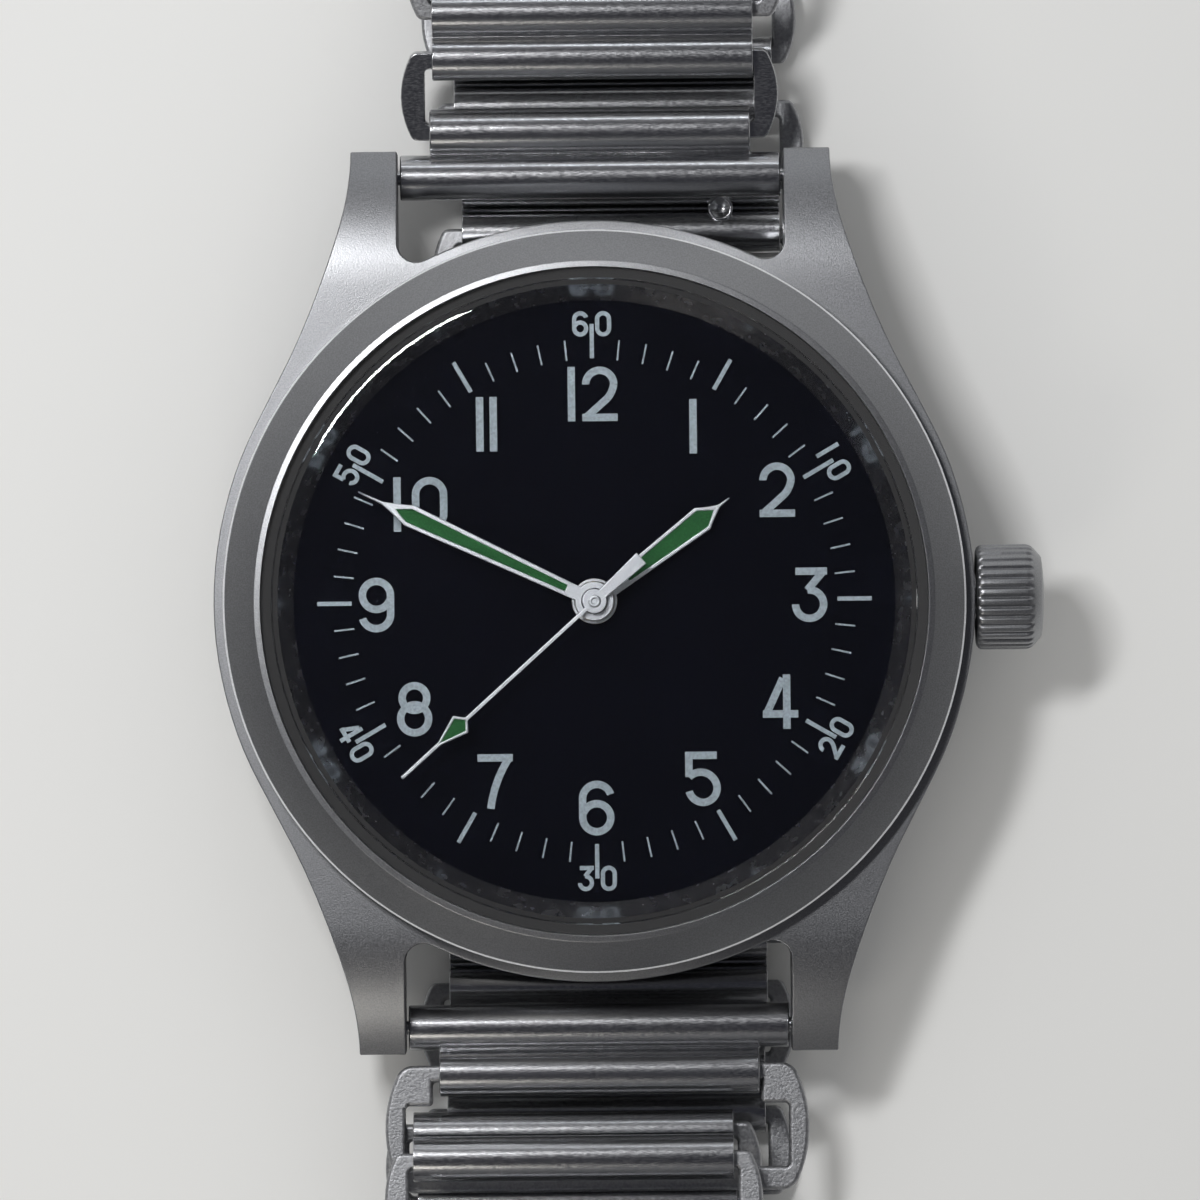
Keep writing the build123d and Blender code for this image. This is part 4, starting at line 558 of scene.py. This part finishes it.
# Each ring's place along the crown, its radius, and its share of the flutes' depth.
crown_rings = [
    (crown_bore_depth, 0, 0),
    (crown_bore_depth, crown_bore, 0),
    (0.1 * MM, crown_bore, 0),
    (0, crown_bore + 0.1 * MM, 0),
    (0, crown_radius - 0.3 * MM, 0),
    (0.04 * MM, crown_radius - 0.17 * MM, 0),
    (0.12 * MM, crown_radius - 0.07 * MM, 0.3),
    (0.24 * MM, crown_radius - 0.01 * MM, 0.8),
    (0.36 * MM, crown_radius, 1),
    (2.36 * MM, crown_radius, 1),
    (2.48 * MM, crown_radius - 0.02 * MM, 0.9),
    (2.58 * MM, crown_radius - 0.06 * MM, 0.65),
    (2.66 * MM, crown_radius - 0.11 * MM, 0.3),
    (2.72 * MM, crown_radius - 0.17 * MM, 0),
    (2.78 * MM, crown_radius - 0.22 * MM, 0),
    (3.05 * MM, crown_radius - 0.53 * MM, 0),
    (3.11 * MM, crown_radius - 0.62 * MM, 0),
    (3.19 * MM, crown_radius - 1.2 * MM, 0),
    (3.24 * MM, crown_radius - 1.9 * MM, 0),
    (3.25 * MM, 0, 0),
]
crown_shape = bmesh.new()
last_edges = []
for along, radius, flute_share in crown_rings:
    circle = bmesh.ops.create_circle(
        crown_shape, segments=flute_count * points_each_flute, radius=max(radius, smallest_ring)
    )["verts"]
    for count, corner in enumerate(circle):
        depth = flute_depth * flute_share * flute_shares[count % points_each_flute]
        near = 1 - depth / max(radius, MM)
        height = crown_axis_height + near * corner.co.y
        corner.co = (crown_start + along, near * corner.co.x, height)
    edges = list({edge for corner in circle for edge in corner.link_edges})
    if last_edges:
        bmesh.ops.bridge_loops(crown_shape, edges=last_edges + edges)
    last_edges = edges
bmesh.ops.remove_doubles(crown_shape, verts=crown_shape.verts, dist=0.005 * MM)
bmesh.ops.recalc_face_normals(crown_shape, faces=crown_shape.faces)
crown_knob = add_piece("crown_knob", crown_shape, "crown", blasted, ["crown"])
mark_sharp(crown_knob, 50)

# Bracelet: slats rolled from stainless sheet and rings stamped from it, tumbled to a soft shine.
rolled = metal(
    "rolled_steel",
    dark=(0.42, 0.425, 0.44),
    light=(0.52, 0.525, 0.54),
    roughness=(0.18, 0.26),
    grain_size=(0.20 * MM, 0.06 * MM, 0.06 * MM),
    height=0.003 * MM,
)
tumbled = metal(
    "tumbled_steel",
    dark=(0.32, 0.325, 0.34),
    light=(0.44, 0.445, 0.46),
    roughness=(0.42, 0.54),
    grain_size=(0.12 * MM, 0.12 * MM, 0.12 * MM),
    height=0.02 * MM,
)


def width_across(solid):
    """How far a solid reaches along X."""
    places = [corner.co.x for corner in solid.verts]
    return max(places) - min(places)


def separate_solids(node):
    """Merged copies of the solids of a node, the narrowest first."""
    whole = solid_shape(node)
    whole.verts.index_update()
    left = set(whole.verts)
    solids = []
    while left:
        group = [left.pop()]
        for corner in group:
            for edge in corner.link_edges:
                other = edge.other_vert(corner)
                if other in left:
                    left.remove(other)
                    group.append(other)
        kept = {corner.index for corner in group}
        solid = whole.copy()
        others = [corner for corner in solid.verts if corner.index not in kept]
        bmesh.ops.delete(solid, geom=others, context="VERTS")
        solids.append(solid)
    whole.free()
    return sorted(solids, key=width_across)


roll_radius = 1.075 * MM
roll_pitch = 2.17 * MM
sheet = 0.28 * MM
groove_angle = radians(20)
seam_angle = radians(30)
roll_steps = 44
groove_steps = 7


def slat_middle_line():
    """The middle line of a slat's sheet: one roll, the groove between the rolls, and the other."""
    bend = roll_radius - sheet / 2
    groove_radius = roll_pitch / 2 / cos(groove_angle) - bend
    groove_height = roll_pitch / 2 * sin(groove_angle) / cos(groove_angle)
    sweep = 2 * pi - seam_angle - groove_angle
    first_roll = []
    for count in range(roll_steps + 1):
        angle = sweep + groove_angle - sweep * count / roll_steps
        first_roll.append((-roll_pitch / 2 + bend * cos(angle), bend * sin(angle)))
    groove = []
    for count in range(1, groove_steps):
        angle = pi + groove_angle + (pi - 2 * groove_angle) * count / groove_steps
        groove.append((groove_radius * cos(angle), groove_height + groove_radius * sin(angle)))
    second_roll = [(-along, out) for along, out in reversed(first_roll)]
    return first_roll + groove + second_roll


def rolled_slat(name, body, solid, finish, node):
    """A slat rolled from one sheet, in the place of a plain one, its seams toward the wrist."""
    corners = [corner.co for corner in solid.verts]
    start_x = min(corner.x for corner in corners)
    end_x = max(corner.x for corner in corners)
    middle_y = (min(corner.y for corner in corners) + max(corner.y for corner in corners)) / 2
    middle_z = (min(corner.z for corner in corners) + max(corner.z for corner in corners)) / 2
    offsets = [(corner.y - middle_y, corner.z - middle_z) for corner in corners]
    lean = sum(y * z for y, z in offsets)
    flatness = sum(y * y - z * z for y, z in offsets)
    turn = atan2(2 * lean, flatness) / 2
    along = Vector((0, cos(turn), sin(turn)))
    outward = Vector((0, -sin(turn), cos(turn)))
    if abs(outward.y) > abs(outward.z):
        outward *= 1 if outward.y * middle_y > 0 else -1
    elif middle_z < 2 * roll_radius:
        outward *= -1
    shape = bmesh.new()
    chain = []
    for place, out in slat_middle_line():
        point = Vector((start_x, middle_y, middle_z)) + place * along + out * outward
        chain.append(shape.verts.new(point))
    for first, second in zip(chain, chain[1:]):
        shape.edges.new((first, second))
    drawn = bmesh.ops.extrude_edge_only(shape, edges=shape.edges[:])["geom"]
    far = [item for item in drawn if isinstance(item, bmesh.types.BMVert)]
    bmesh.ops.translate(shape, verts=far, vec=(end_x - start_x, 0, 0))
    bmesh.ops.recalc_face_normals(shape, faces=shape.faces)
    slat = add_piece(name, shape, body, finish, [node])
    wall = slat.modifiers.new("wall", "SOLIDIFY")
    wall.thickness = sheet
    wall.offset = 0
    break_edges(slat, 0.05 * MM, 2, 60)


def stamped_ring(name, body, solid, finish, nodes=()):
    """A ring stamped from plate, its edges tumbled round."""
    ring = add_piece(name, solid, body, finish, nodes)
    mark_sharp(ring, 40)
    break_edges(ring, 0.2 * MM, 4, 40)


ladder_links = [f"ladder_link_{count:02d}" for count in range(1, 15)]
links = [(node, node) for node in ladder_links]
links += [(node, "clasp") for node in ("fold_slat", "return_link_1", "return_link_2")]
for node, body in links:
    plain_slat, ring_solid = separate_solids(node)
    rolled_slat(f"{node}_rolls", body, plain_slat, rolled, node)
    stamped_ring(f"{node}_hoop", body, ring_solid, tumbled)
    plain_slat.free()
rolled_slat("turn_slat_rolls", "turn_slat", solid_shape("turn_slat"), rolled, "turn_slat")
for node in ("clasp_ring", "fold_ring"):
    stamped_ring(f"{node}_hoop", "clasp", solid_shape(node), tumbled, [node])
for node in ("end_link_12", "end_link_6", "clip"):
    dress(f"{node}_steel", node, node, rolled, 0.08 * MM, 3)
for node in ("spring_bar_12", "spring_bar_6"):
    keep_node(node, rolled)

# Rivet: a small steel cup with a rounded lip, punched in a slat of the wrist's run of the
# bracelet. It is seen between the case and the end link.
rivet_radius = 0.6 * MM
rivet_foot = 1.5 * MM
rivet_floor = 1.98 * MM
rivet_outline = [
    (0, rivet_floor),
    (0.35 * MM, rivet_floor),
    (0.45 * MM, 2.1 * MM),
    (0.55 * MM, 2.12 * MM),
    (rivet_radius, 2.05 * MM),
    (rivet_radius, rivet_foot),
    (0, rivet_foot),
]
rivet_shape = spun(rivet_outline, 48, x=6.2 * MM, y=18.7 * MM)
add_piece("rivet", rivet_shape, "ladder_link_05", rolled)

# Movement: milled and gilt brass plates, bridges and wheels, with bright steel pinions and arbors
# that turn in the plates' holes.
brass = metal(
    "gilt_brass",
    dark=(0.60, 0.42, 0.17),
    light=(0.75, 0.55, 0.25),
    roughness=(0.22, 0.38),
    grain_size=(0.4 * MM, 0.05 * MM, 0.05 * MM),
    height=0.002 * MM,
)
steel = metal(
    "bright_steel",
    dark=(0.45, 0.46, 0.48),
    light=(0.60, 0.61, 0.63),
    roughness=(0.14, 0.26),
    grain_size=(0.08 * MM, 0.08 * MM, 0.08 * MM),
    height=0.001 * MM,
)
for node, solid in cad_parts.items():
    names = {slot.material.name.split(".")[0] for slot in solid.material_slots}
    if "movement_brass" in names:
        keep_node(node, brass)
    if "movement_steel" in names:
        keep_node(node, steel)
